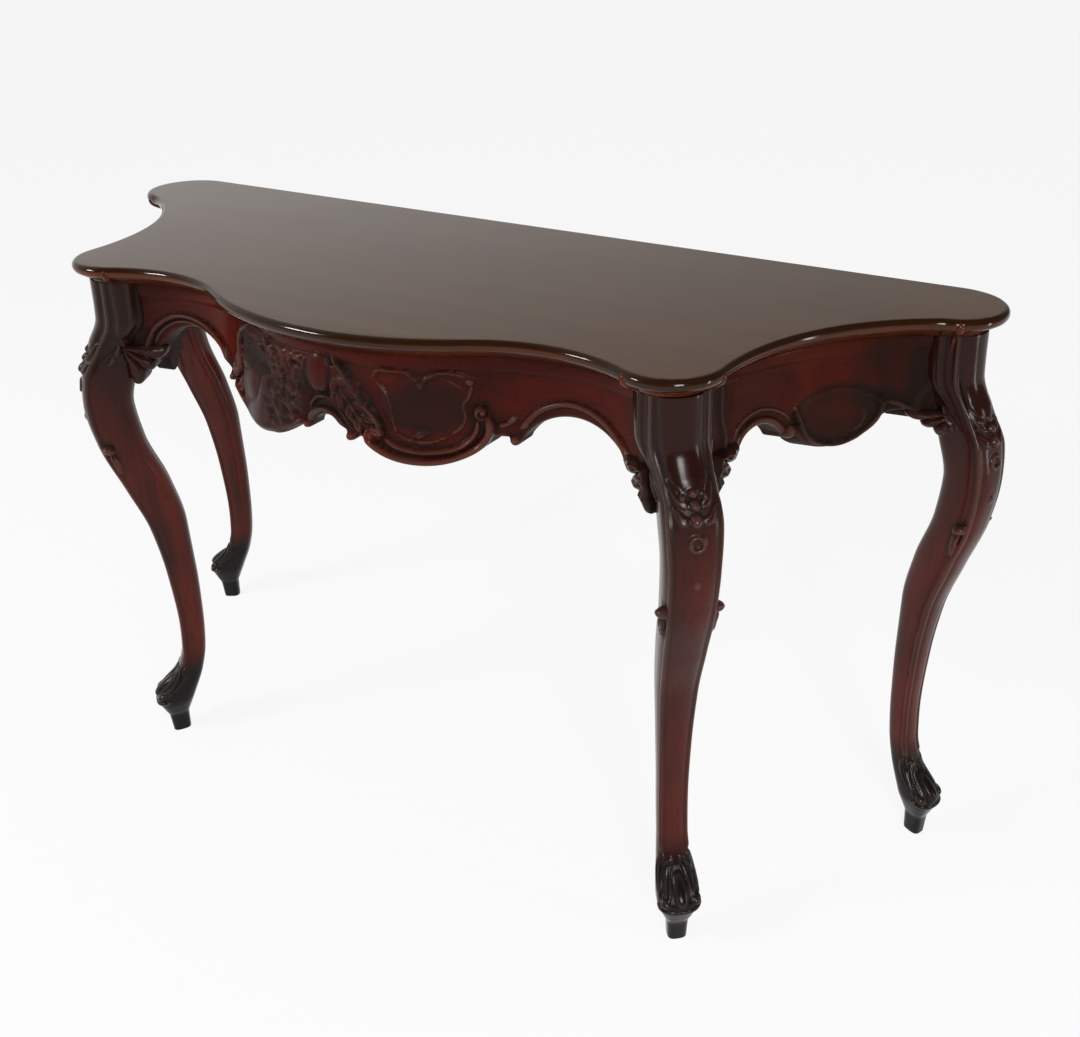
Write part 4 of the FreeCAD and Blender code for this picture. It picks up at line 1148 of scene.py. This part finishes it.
@dataclass
class FrontApron(Apron):
    """The serpentine front apron with its carving."""

    rows: int = 92
    half_width: float = 412.0
    # stretches of the width, with the distance between columns on each
    stretches: Sequence[Triple] = (
        (-412, -380, 8), (-380, -245, 2.6), (-245, 232, 1.45), (232, 375, 2.6), (375, 412, 8))
    corners: Sequence[Triple] = (
        (-423, 640, 0), (-364, 640, 0), (-236, 640, 54), (-228, 640, -4), (-174, 597, -8),
        (-48, 640, -12), (-38, 640, -5), (16, 640, 16), (32, 640, -7), (184, 640, -28),
        (187, 648, 0), (205, 648, 0), (221, 648, -7), (362, 640, 39), (423, 640, 0))
    ends: Sequence[tuple[float, int]] = ((-398, 1), (398, -1))
    end_bead: Line = ((6, 736), (7, 700), (14, 668), (12, 640))
    end_shade: float = 26.0
    # where the shell's rays start, and how many there are in a half-turn
    fan: Point = (-96.0, 716.0)
    fan_rays: int = 7

    def columns_x(self) -> np.ndarray:
        """Places of the columns, closer together where the carving is."""
        parts = [np.arange(low, high, step) for low, high, step in self.stretches]
        return np.append(np.concatenate(parts), self.half_width)

    def carve(self, relief: Relief) -> None:
        """Carve the whole face.

        Args:
            relief: The field to carve.
        """
        self.carve_edges(relief)
        self.carve_shell(relief)
        self.carve_leaf(relief)
        self.carve_cartouche(relief)

    def carve_edges(self, relief: Relief) -> None:
        """Carve the mouldings along the top and round the arches.

        Args:
            relief: The field to carve.
        """
        self.carve_rail(relief, -430, 430)
        relief.bead([(-380, 636), (-374, 664), (-358, 690), (-330, 707), (-300, 709),
                     (-270, 700), (-248, 682), (-236, 656)], 7.5, 6.5, ends=0.05)
        relief.bead([(-366, 664), (-352, 684), (-328, 699), (-300, 701), (-272, 692),
                     (-252, 675), (-243, 656)], 4.5, 4.0, ends=0.05)
        relief.bead([(218, 660), (238, 684), (264, 698), (292, 701), (324, 692),
                     (352, 670), (368, 640)], 7.5, 5.5, ends=0.05)
        # painted shade, with old wax, over the left arch
        relief.shade_patch((-335, 706), (90, 70), 0.4)
        self.carve_ends(relief)
        relief.bead([(-40, 642), (-34, 655), (-22, 664), (-8, 666), (6, 661), (18, 647)], 7, 6.5)
        relief.bead([(-36, 664), (-22, 679), (-8, 683), (4, 679), (16, 666), (25, 650)], 5.5, 5.0)
        for spot in ((-232, 638), (-43, 637), (24, 636), (213, 645)):
            relief.boss(spot, (7, 8), 9, power=0.5)

    def carve_shell(self, relief: Relief) -> None:
        """Carve the rocaille field, its rays and its thick rim.

        Args:
            relief: The field to carve.
        """
        x, z = relief.across, relief.up
        # the field fades out at the leaves on its left, at the lobe on its right and at the rail
        left = np.clip((x + 196 - (z - 660) * 0.2) / 14, 0, 1)
        right = np.clip((-16 - x - np.maximum(705 - z, 0) * 0.5) / 14, 0, 1)
        inside = left * right * np.clip((736 - z) / 8, 0, 1)
        off_x, off_z = x - self.fan[0], z - self.fan[1]
        angle, reach = np.arctan2(off_z, off_x), np.hypot(off_z, off_x)
        rays = np.abs(np.sin(angle * self.fan_rays + 0.5 * np.sin(reach * 0.06))) ** 0.8
        rays *= np.clip((reach - 30) / 14, 0, 1) * np.clip((700 - z) / 20, 0, 1)
        # the bowl is dished where the rays start
        bowl = 8.5 - 5.5 * np.exp(-((x + 132) / 44) ** 2 - ((z - 702) / 32) ** 2)
        relief.height = np.maximum(relief.height, inside * (bowl + 2.2 * rays))
        relief.pits(inside * np.clip((x + 135) / 30, 0.0, 1), 9.0, 1.6, seed=5)
        # painted shade over the shell's field and in its recess, fading out towards the rail
        relief.stain += 0.5 * inside * np.clip((740 - z) / 30, 0, 1)
        relief.shade_patch((-140, 706), (42, 34), 0.35)
        relief.pebbles([(-104, 731), (-84, 716), (-72, 698), (-74, 680), (-88, 664),
                        (-104, 652)], 5.0, 11.0, seed=3)
        relief.pebbles([(-58, 722), (-50, 704), (-46, 688), (-50, 670), (-62, 654)], 5.0, 10.0,
                       seed=8)
        relief.pebbles([(-186, 700), (-178, 682), (-170, 664), (-156, 650), (-136, 640)], 4.0,
                       8.5, seed=12)
        relief.boss((-118, 720), (5, 8), 9.0, turn=30)
        relief.bead([(-228, 640), (-212, 622), (-194, 606), (-172, 601), (-138, 607),
                     (-100, 619), (-66, 633), (-46, 645)], 13, 10.5, ends=0.05)
        relief.bead([(-150, 736), (-176, 724), (-192, 706), (-198, 684), (-206, 664),
                     (-224, 648)], 8, 8.0, ends=0.06)
        relief.leaf([(-196, 690), (-208, 666), (-230, 642)], 22, 9.0)
        relief.leaf([(-190, 656), (-206, 636), (-226, 626)], 20, 10.0)
        relief.leaf([(-186, 634), (-198, 618), (-214, 610)], 18, 10.5)
        relief.leaf([(-168, 728), (-150, 716), (-126, 722)], 14, 9.0)

    def carve_leaf(self, relief: Relief) -> None:
        """Carve the plain lobe and the leaf between the two drops.

        Args:
            relief: The field to carve.
        """
        relief.boss((-14, 713), (20, 27), 10.5, turn=-12, power=0.5)
        relief.groove([(3, 738), (14, 724), (22, 708)], 5, 4.0)
        relief.bead([(8, 738), (22, 722), (34, 702), (46, 684), (60, 668), (67, 650)], 6, 8.5)
        relief.leaf([(6, 724), (22, 698), (34, 680), (46, 662), (62, 638)], 50, 6.5, lobes=5,
                    vein=0.1)
        relief.acanthus([(12, 716), (22, 698), (34, 680), (46, 662), (58, 644)], 5, 24, 14, 11.0,
                        spread=42)
        relief.leaf([(2, 692), (14, 680), (26, 664)], 12, 8.5)
        relief.groove([(-14, 690), (0, 682), (14, 672)], 5, 3.0)
        # painted shade, with old wax, round the leaf
        relief.shade_patch((10, 696), (62, 54), 0.55)

    def carve_cartouche(self, relief: Relief) -> None:
        """Carve the panel, its scrolled frame and the C-scroll round it.

        Args:
            relief: The field to carve.
        """
        relief.boss((120, 684), (50, 42), 3.0, power=0.35)
        # painted shade, with old wax, over the panel
        relief.shade_patch((120, 686), (50, 44), 0.75)
        relief.bead([(60, 716), (68, 727), (86, 728), (102, 727), (112, 718), (117, 712)], 4, 4.2)
        relief.bead([(117, 712), (124, 722), (138, 728), (156, 727), (168, 720)], 4, 4.2)
        relief.boss((117, 712), (5, 6), 6.0)
        relief.boss((168, 718), (5, 5), 6.5)
        relief.bead([(170, 716), (166, 700), (160, 690), (162, 676), (156, 662),
                     (144, 652)], 4, 4.6)
        relief.bead([(62, 716), (74, 704), (80, 688), (82, 668), (84, 650)], 4, 4.2)
        relief.bead([(84, 650), (100, 643), (122, 642), (144, 651)], 3.5, 3.8)
        relief.leaf([(106, 646), (116, 654), (126, 660)], 11, 6.0, lobes=2)
        relief.bead([(183, 678), (186, 662), (180, 646), (163, 630), (138, 619), (108, 616),
                     (78, 620), (56, 632), (42, 648)], 11, 11.0, ends=0.06)
        relief.bead([(173, 674), (172, 660), (163, 645), (146, 634), (114, 629), (86, 633),
                     (66, 645)], 6, 7.5, ends=0.1)
        relief.volute((178, 682), 7, -1.1, -60, 5.5, 12.0)
        relief.bead([(194, 664), (206, 668), (216, 676)], 6, 4.0)

    def build(self) -> None:
        """Make the apron."""
        piece = self.model("apron_front_carved", self.columns_x(), PLAN.front_y, -1)
        dress(piece, APRON,
              ["apron_front", "carving_shell", "carving_reserve", "carving_scroll", "carving_leaf"])


@dataclass
class SideApron(Apron):
    """A hollowed side apron with its arch and its carved drop."""

    front: float = -141.0
    back: float = 168.0
    columns: int = 190
    corners: Sequence[Triple] = (
        (-141, 640, 0), (-47, 640, 0), (23, 640, 23), (41, 640, -5), (121, 640, -29),
        (147, 640, 12), (250, 640, 0))
    ends: Sequence[tuple[float, int]] = ((-84, 1), (163, -1))
    end_bead: Line = ((8, 738), (9, 700), (18, 668), (16, 640))

    def carve(self, relief: Relief) -> None:
        """Carve the arch's bead and the ornament in the drop.

        Args:
            relief: The field to carve.
        """
        self.carve_rail(relief, -150, 180)
        relief.bead([(-50, 640), (-40, 660), (-24, 669), (-8, 670), (8, 664), (22, 650),
                     (30, 642)], 10, 5.5)
        relief.bead([(-56, 652), (-42, 674), (-22, 683), (0, 682), (20, 672), (34, 658)], 4.5, 3.0)
        relief.boss((31, 645), (9, 9), 8.0, power=0.5)
        relief.boss((81, 654), (42, 38), 6.0, power=0.4)
        relief.bead([(36, 676), (42, 656), (52, 636), (66, 623), (84, 618), (100, 624),
                     (113, 640), (120, 658), (118, 672), (106, 681)], 6, 8.5, ends=0.1)
        relief.bead([(100, 668), (107, 654), (103, 638), (90, 629)], 5, 7.5, ends=0.25)
        relief.bead([(116, 668), (128, 666), (138, 660), (148, 650)], 7, 5.5)
        # painted shade, with old wax, in the drop and by the back end
        relief.shade_patch((80, 654), (50, 44), 0.7)
        relief.shade_patch((142, 700), (56, 60), 0.45)
        self.carve_ends(relief)

    def build(self, side: Side) -> None:
        """Make one side apron.

        Args:
            side: The hand.
        """
        piece = self.model(side.of("apron_side") + "_carved",
                           np.linspace(self.front, self.back, self.columns), PLAN.side_edge, 1,
                           axes=(1, 0, 2), hand=side.value)
        dress(piece, SIDE_APRON, [side.of("apron_side"), side.of("carving_side")])


def smooth_through(place: float, knots: np.ndarray, values: np.ndarray) -> float:
    """Interpolate smoothly, without overshoot, through values at rising knots.

    Args:
        place: Where to read.
        knots: Rising places of the values.
        values: The values.

    Returns:
        The value at the place.
    """
    step = np.diff(knots)
    slope = np.diff(values) / step
    tangent = np.zeros_like(values)
    tangent[0], tangent[-1] = slope[0], slope[-1]
    same = slope[:-1] * slope[1:] > 0
    mean = 2 * slope[:-1] * slope[1:] / np.where(same, slope[:-1] + slope[1:], 1)
    tangent[1:-1] = np.where(same, mean, 0)
    number = np.clip(np.searchsorted(knots, place) - 1, 0, len(step) - 1)
    share = (place - knots[number]) / step[number]
    first, last = values[number], values[number + 1]
    return (first * (1 + 2 * share) * (1 - share) ** 2 + last * share ** 2 * (3 - 2 * share)
            + step[number] * share * (1 - share) * (tangent[number] * (1 - share)
                                                    - tangent[number + 1] * share))


@dataclass
class Leg:
    """A cabriole leg with a carved knee, edge beads and a scrolled toe."""

    name: str
    x: float
    y: float
    turn: float
    # how far the stile stands to the front of the leg's own plane, and how that grows upwards
    sway: float = 9.0
    sway_heights: Point = (640.0, 700.0)
    # share of the width that is lost on the inner side, and how that grows downwards
    taper: float = 0.14
    taper_heights: Point = (720.0, 660.0)
    # how much narrower than its sections the leg is, measured where they are as wide as this
    slimming: float = 0.0
    slimming_at: float = 72.0
    # place of the edge bead, as a share of the leg's width
    arris_share: float = 0.43
    face_columns: int = 74
    back_columns: int = 40
    outline_steps: int = 1441
    normal_step: float = 0.8
    # heights of the sections, with how far they reach out and in, their width and squareness
    sections: Sequence[tuple[float, float, float, float, float]] = (
        (0, 55, 28, 27, 0.40), (30, 57, 26, 31, 0.40), (42, 62, 21, 42, 0.39),
        (66, 69, 10, 58, 0.39), (110, 31, -9, 45, 0.39), (150, 17, -19, 40, 0.39),
        (210, 13, -25, 40, 0.39), (290, 16, -28, 44, 0.39), (370, 26, -28, 51, 0.39),
        (440, 47, -17, 58, 0.39), (515, 70, 5, 64, 0.39), (568, 76.5, 10, 67, 0.39),
        (619, 69, -4, 70, 0.41), (655, 52, -24, 70, 0.38), (700, 31, -46, 78, 0.37),
        (765, 27, -48, 78, 0.37))
    # stretches of the height, with the distance between rows on each
    stretches: Sequence[Triple] = (
        (0, 42, 3), (42, 125, 1.3), (125, 560, 3.4), (560, 753.9, 1.5))

    def rows_z(self) -> np.ndarray:
        """Heights of the rows, closer together where the carving is."""
        parts = [np.arange(low, high, step) for low, high, step in self.stretches]
        return np.append(np.concatenate(parts), MOULDING_UNDER)

    def section(self, z: float) -> tuple[float, float, float, float]:
        """Size the leg at a height.

        Args:
            z: The height.

        Returns:
            Its reach out, its reach in, its width and its squareness.
        """
        heights, *columns = np.array(self.sections).T
        out, inner, width, square = (smooth_through(z, heights, sizes) for sizes in columns)
        return out, inner, width * (1 - self.slimming / self.slimming_at), square

    def outline(self, z: float, stations: np.ndarray) -> tuple[np.ndarray, np.ndarray]:
        """Walk round the leg at a height.

        Args:
            z: The height.
            stations: Shares of the half-girth from the middle of the outer face, -1 to 1.

        Returns:
            Places on the outline and the outward normals there.
        """
        out, inner, width, square = self.section(z)
        power = -2 * math.log2(2 * square)
        angle = np.linspace(-math.pi, math.pi, self.outline_steps)
        first, last = (np.sign(wave) * np.abs(wave) ** power
                       for wave in (np.cos(angle), np.sin(angle)))
        shift = -self.sway * held_share(z, *self.sway_heights)
        narrowing = self.taper / 2 * held_share(z, *self.taper_heights)
        places = np.stack([(out + inner) / 2 + first * (out - inner) / 2,
                           shift + last * width / 2 * (1 - narrowing * (1 - first))], axis=1)
        run = np.append(0, np.cumsum(np.hypot(*np.diff(places, axis=0).T)))
        wanted = run[len(run) // 2] * (1 + stations)
        spots, ahead, behind = (
            np.stack([np.interp(wanted + step, run, places[:, i]) for i in (0, 1)], axis=1)
            for step in (0.0, self.normal_step, -self.normal_step))
        along = ahead - behind
        along[[0, -1]] = (0, -1)
        size = np.hypot(along[:, 0], along[:, 1])[:, None]
        return spots, np.stack([along[:, 1], -along[:, 0]], axis=1) / size

    def carve(self, relief: Relief) -> None:
        """Carve the stile, the knee, the shin and the toe.

        Args:
            relief: The field to carve.
        """
        heights = (760, 720, 690, 655, 619, 568, 515, 440, 370, 290, 210, 150, 122)
        for half in relief.halves():
            arris = [(self.arris_share * self.section(z)[2], z) for z in heights]
            half.bead(arris, 7.0, 3.2, ends=0.01)
        self.carve_knee(relief)
        self.carve_flanks(relief)
        self.carve_toe(relief)
        self.carve_spurs(relief)

    def carve_knee(self, relief: Relief) -> None:
        """Carve the long lobe of the stile, the leaves and the husk of the knee.

        Args:
            relief: The field to carve.
        """
        relief.bead([(0, 770), (0, 730), (0, 700), (0, 675), (0, 650)], 54, 5.0, ends=0.15,
                    taper=0.22)
        for half in relief.halves():
            half.leaf([(4, 652), (12, 662), (19, 684)], 12, 4.2, lobes=1)
            half.leaf([(4, 641), (14, 648), (25, 668)], 12, 3.8, lobes=2)
            half.leaf([(4, 629), (14, 629), (24, 642)], 11, 3.4, lobes=2)
            half.boss((12, 652), (3, 4), 5.5)
        for height, size in ((656, 5.5), (644, 5.5), (629, 6.5)):
            relief.boss((0, height), (size, size * 1.15), 6.4, power=0.5)
        relief.ring((0, 604), 7.5, 5, 3.0)
        relief.boss((0, 556), (4, 6), 2.4)

    def carve_flanks(self, relief: Relief) -> None:
        """Carve a round lobe and folded leaf tips on both sides of the stile.

        Args:
            relief: The field to carve.
        """
        for half in relief.halves():
            half.bead([(58, 770), (58, 735), (57, 700), (56, 672)], 30, 4.0, ends=0.2, taper=0.2)
            half.bead([(42, 656), (55, 676), (70, 658)], 9, 1.4, ends=0.35)
            half.bead([(41, 638), (55, 658), (71, 640)], 9, 1.4, ends=0.35)
            half.leaf([(56, 664), (56, 650), (54, 636)], 10, 4.5, lobes=1)

    def carve_spurs(self, relief: Relief) -> None:
        """Carve the small scrolls half-way down both edges.

        Args:
            relief: The field to carve.
        """
        edge = self.section(500)[2] / 2 + 5
        for half in relief.halves():
            half.boss((edge, 512), (8, 6), 11.0, power=0.4)
            half.leaf([(edge, 512), (edge, 494), (edge - 5, 470)], 11, 7.0, lobes=2)

    def carve_toe(self, relief: Relief) -> None:
        """Carve the leaves and the boss of the toe.

        Args:
            relief: The field to carve.
        """
        relief.boss((0, 86), (9, 17), 6.5, power=0.5)
        for half in relief.halves():
            half.leaf([(5, 118), (13, 100), (17, 74)], 12, 3.6, lobes=1)
            half.leaf([(16, 122), (26, 100), (33, 74)], 15, 4.2, lobes=1)
            half.boss((22, 74), (7, 7), 5.0)
        relief.bead([(-40, 66), (-18, 62), (0, 60), (18, 62), (40, 66)], 7, 3.0)

    def build(self, side: Side) -> None:
        """Make one leg.

        Args:
            side: The hand.
        """
        face = np.linspace(-0.5, 0.5, self.face_columns)
        outer = np.linspace(0.5, 1.0, self.back_columns // 2 + 1)[1:]
        stations = np.concatenate([-outer[::-1], face, outer])
        z = self.rows_z()
        spots, normals = (np.array(parts) for parts in zip(*[
            self.outline(height, stations) for height in z]))
        steps = np.hypot(*np.moveaxis(np.diff(spots, axis=1), 2, 0))
        run = np.concatenate([np.zeros((len(z), 1)), np.cumsum(steps, axis=1)], axis=1)
        up = np.repeat(z[:, None], len(stations), axis=1)
        relief = Relief(run - run[:, [len(stations) // 2]], up)
        self.carve(relief)
        carved = spots + normals * relief.height[:, :, None]
        heading = math.radians(-self.turn)
        ahead = np.array([math.cos(heading), math.sin(heading)])
        beside = np.array([-math.sin(heading), math.cos(heading)])
        plan = np.array([self.x, self.y]) + carved[:, :, [0]] * ahead + carved[:, :, [1]] * beside
        skin = np.dstack([plan[..., 0] * side.value, plan[..., 1], up])
        piece = carved_sheet(side.of(self.name) + "_carved", skin, relief.marks(reach=3, gain=0.6))
        self._close(piece)
        finish_mesh(piece)
        dress(piece, CARVED_LEG, [side.of(self.name)])

    @staticmethod
    def _close(piece: bpy.types.Object) -> None:
        """Join the skin's two edges and fill its open ends.

        Args:
            piece: The leg's skin.
        """
        with editing(piece):
            bpy.ops.mesh.remove_doubles(threshold=MERGE_GAP * MM)
            bpy.ops.mesh.select_all(action="DESELECT")
            bpy.ops.mesh.select_mode(type="EDGE")
            bpy.ops.mesh.select_non_manifold()
            bpy.ops.mesh.fill_holes(sides=0)


@dataclass
class Ear:
    """A leafy bracket of three lobes beside a knee."""

    name: str
    x: float
    y: float
    heading: float
    reach: float
    fall: float
    facing: int = 1
    top: float = 655.0
    lobes: int = 3
    angle_steps: int = 100
    reach_steps: int = 30
    # thickness before and behind its own plane, and how far it runs in behind the leg
    outward: float = 17.0
    inward: float = 24.0
    tail: float = 16.0
    # its reach between two lobes and what a lobe adds
    least_reach: float = 0.86
    lobe_reach: float = 0.26
    # depth of the dips between lobes, of the vein and of the folds, as shares of the thickness
    dip: float = 0.55
    vein: float = 0.25
    fold: float = 0.22
    # number of folds from root to edge, and the width of the vein
    folds: float = 2.4
    vein_width: float = 0.12

    def build(self, side: Side) -> None:
        """Make one bracket.

        Args:
            side: The hand.
        """
        angle = np.linspace(0, math.pi / 2, self.angle_steps)
        share = np.linspace(0.0, 1.0, self.reach_steps)[:, None]
        beat = np.abs(np.sin(self.lobes * 2 * angle))
        edge = self.least_reach + self.lobe_reach * beat ** 0.55
        size = share * (edge / (np.cos(angle) + np.sin(angle)))
        swell = np.minimum(share * 2.5, 1)
        round_off = np.sqrt(np.maximum(1 - share ** 3, 0))
        rib = 1 - self.vein * np.exp(-((beat - 1) / self.vein_width) ** 2)
        wave = np.abs(np.cos(math.pi * self.folds * share + 2 * angle))
        folded = self.outward * round_off * (1 - self.fold * swell * wave)
        lift = folded * (1 - swell * (1 - beat ** 0.9 * rib) * self.dip)
        run = self.tail - (self.reach + self.tail) * size * np.cos(angle)
        z = self.top - self.fall * size * np.sin(angle)
        heading = math.radians(self.heading)
        along = np.array([math.cos(heading), math.sin(heading)])
        outwards = self.facing * np.array([math.sin(heading), -math.cos(heading)])
        root = np.array([self.x, self.y]) + run[..., None] * along
        front, back = (np.dstack([root + depth[..., None] * outwards, z]) * (side.value, 1, 1)
                       for depth in (lift, np.full_like(lift, -self.inward)))
        # painted shade in the dips between the lobes, through the hollow mark
        hollow = np.clip(1 - beat * 1.8, 0, 1) * swell
        piece = carved_sheet(side.of(self.name) + "_carved", front, {"hollow": hollow}, back)
        finish_mesh(piece)
        dress(piece, CARVED_EAR, [side.of(self.name)])


@dataclass
class Mitre:
    """A bead that crosses the moulding and the nose where a lobe of the top begins."""

    name: str
    x: float
    y: float
    heading: float
    # how far in from the edge each point lies, its height, and the bead's radius there
    path: Sequence[Triple] = (
        (31, 730, 1.6), (28, 748, 3.2), (21, 758, 4.4), (13, 762, 5.2), (5.4, 766.5, 5.6),
        (3.2, 771.5, 6), (5.6, 774.8, 4.8), (12, 776.4, 3))

    def build(self, side: Side) -> None:
        """Make one bead.

        Args:
            side: The hand.
        """
        deselect()
        heading = math.radians(self.heading)
        curve = bpy.data.curves.new(side.of(self.name), "CURVE")
        curve.dimensions = "3D"
        curve.bevel_depth = MM
        curve.bevel_resolution = 5
        curve.resolution_u = 6
        curve.use_fill_caps = True
        line = curve.splines.new("NURBS")
        line.points.add(len(self.path) - 1)
        for point, (inset, z, radius) in zip(line.points, self.path):
            x = self.x - inset * math.cos(heading)
            point.co = (x * side.value * MM, (self.y - inset * math.sin(heading)) * MM, z * MM, 1)
            point.radius = radius
        line.use_endpoint_u = True
        line.order_u = 4
        piece = bpy.data.objects.new(curve.name, curve)
        bpy.context.collection.objects.link(piece)
        piece.select_set(True)
        bpy.context.view_layer.objects.active = piece
        bpy.ops.object.convert(target="MESH")
        piece = bpy.context.object
        finish_mesh(piece)
        dress(piece, MOULDING)


@dataclass
class InnerParts:
    """The plain blocks, bearers and screws that hold the top."""

    wood: Sequence[str] = (
        "back_rail", "corner_block_front_right", "corner_block_front_left",
        "corner_block_back_right", "corner_block_back_left", "bearer_right", "bearer_left",
        "glue_blocks")

    def build(self) -> None:
        """Dress the nodes that stay as they are."""
        for node in self.wood:
            self._assign(node, PLAIN)
        self._assign("screws", STEEL)

    @staticmethod
    def _assign(node: str, finish: WoodFinish | MetalFinish) -> None:
        """Give a node of the frame a finish.

        Args:
            node: Name of the node.
            finish: Its finish.
        """
        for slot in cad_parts[node].material_slots:
            slot.material = finish.build()
        log.info("%s: dressed", node)


@dataclass(frozen=True)
class Lamp:
    """A soft box lamp, with places and sizes in metres and its power in watts."""

    name: str
    place: Triple
    aim: Triple
    size: Point
    power: float

    def build(self) -> None:
        """Hang the lamp and aim it."""
        light = bpy.data.lights.new(self.name, "AREA")
        light.shape = "RECTANGLE"
        light.size, light.size_y = self.size
        light.energy = self.power
        item = bpy.data.objects.new(self.name, light)
        bpy.context.collection.objects.link(item)
        item.location = self.place
        toward = Vector(self.aim) - Vector(self.place)
        item.rotation_euler = toward.to_track_quat("-Z", "Y").to_euler()


@dataclass
class Studio:
    """Floor, light and camera."""

    lamps: Sequence[Lamp] = (
        Lamp("right", (2.15, -2.1, 1.75), (0.3, -0.15, 0.65), (0.7, 0.9), 52.0),
        Lamp("edge", (2.9, 0.4, 0.6), (0.4, -0.1, 0.3), (0.2, 1.0), 10.0),
        Lamp("left", (-2.0, -2.15, 2.1), (-0.1, -0.1, 0.65), (0.8, 0.3), 58.0))
    # metres
    floor_size: float = 60.0
    floor_colour: Colour = (0.86, 0.86, 0.86)
    # the floor's own white, and its share where the floor is seen or mirrored
    floor_white: float = 0.99
    floor_share: float = 0.88
    # the world's strength behind the table, on it, and mirrored in it from the front
    white: float = 0.96
    soft: float = 0.42
    front_gloss: float = 0.15
    # the mirrored world is dim to the front and the right, and pale to the back and the left
    pale_from: float = 0.1
    pale_to: float = 1.04
    pale_depth: float = 0.4
    # degrees, and metres for the camera's place
    azimuth: float = 28.735
    elevation: float = 28.615
    roll: float = -0.170
    camera_place: Triple = (0.89935, -1.17152, 1.21392)
    # pixels, in a frame as wide as this
    focal_pixels: float = 1166.6
    image_width: float = 1080.0
    centre_x: float = 610.0
    sensor_width: float = 36.0

    def build(self) -> None:
        """Make the floor, the world, the lamps and the camera."""
        self._floor()
        self._world()
        for lamp in self.lamps:
            lamp.build()
        self._camera()
        bpy.context.scene.view_settings.view_transform = "Standard"

    def _floor(self) -> None:
        """Make the pale floor, which looks white but keeps the table's shadow."""
        deselect()
        bpy.ops.mesh.primitive_plane_add(size=self.floor_size, location=(0, 0, 0))
        floor = bpy.context.object
        floor.name = "floor"
        material = bpy.data.materials.new("floor_paint")
        graph = Graph(material)
        seen = graph.rays("Camera", "Glossy", "Transmission")
        plain = graph.node("BsdfDiffuse", inputs={"Color": self.floor_colour})
        white = graph.node("Emission", inputs={"Color": WHITE, "Strength": self.floor_white})
        surface = graph.blend(seen * self.floor_share, plain, white)
        graph.node("OutputMaterial", inputs={"Surface": surface})
        floor.data.materials.append(material)

    def _world(self) -> None:
        """Make a soft even world that looks white behind the table."""
        world = bpy.data.worlds.new("studio")
        bpy.context.scene.world = world
        graph = Graph(world)
        white, soft, dim = (
            graph.node("Background", inputs={"Color": WHITE, "Strength": strength})
            for strength in (self.white, self.soft, self.front_gloss))
        place = graph.coordinates()
        pale = graph.axis(place, "Y") * self.pale_depth - graph.axis(place, "X")
        mirrored = graph.blend(graph.fade(pale, self.pale_from, self.pale_to), dim, white)
        light = graph.blend(graph.rays("Glossy"), soft, mirrored)
        surface = graph.blend(graph.rays("Camera", "Transmission"), light, white)
        graph.node("OutputWorld", inputs={"Surface": surface})

    def _camera(self) -> None:
        """Set the camera."""
        azimuth, elevation, roll = map(math.radians, (self.azimuth, self.elevation, self.roll))
        back = Vector((math.sin(azimuth) * math.cos(elevation),
                       -math.cos(azimuth) * math.cos(elevation), math.sin(elevation)))
        right = Vector((0, 0, 1)).cross(back).normalized()
        up = back.cross(right)
        turned = right * math.cos(roll) + up * math.sin(roll)
        risen = up * math.cos(roll) - right * math.sin(roll)
        lens = bpy.data.cameras.new("camera")
        lens.sensor_fit = "HORIZONTAL"
        lens.sensor_width = self.sensor_width
        lens.lens = self.focal_pixels / self.image_width * self.sensor_width
        lens.shift_x = -(self.centre_x - self.image_width / 2) / self.image_width
        camera = bpy.data.objects.new("camera", lens)
        bpy.context.collection.objects.link(camera)
        matrix = Matrix((turned, risen, back)).transposed().to_4x4()
        matrix.translation = self.camera_place
        camera.matrix_world = matrix
        bpy.context.scene.camera = camera


def main() -> None:
    """Build and dress the table."""
    logging.basicConfig(level=logging.INFO)
    Studio().build()
    Top().build()
    FrontApron().build()
    for side in Side:
        SideApron().build(side)
        Leg("leg_front", 423.0, -143.0, 50.0).build(side)
        Leg("leg_back", 633.0, 181.0, 24.0, slimming=12.0, sway=5.0).build(side)
        Ear("bracket_front", 387.0, -158.0, -28.7, 41.0, 60.0, top=663.0).build(side)
        Ear("bracket_side", 439.0, -78.0, -100.7, 40.0, 62.0, facing=-1, top=656.0).build(side)
        Ear("bracket_back", 625.0, 156.0, 24.7, 44.0, 38.0).build(side)
        for name, nick in PLAN.nicks().items():
            Mitre(name, *nick).build(side)
    InnerParts().build()


if __name__ == "__main__":
    main()
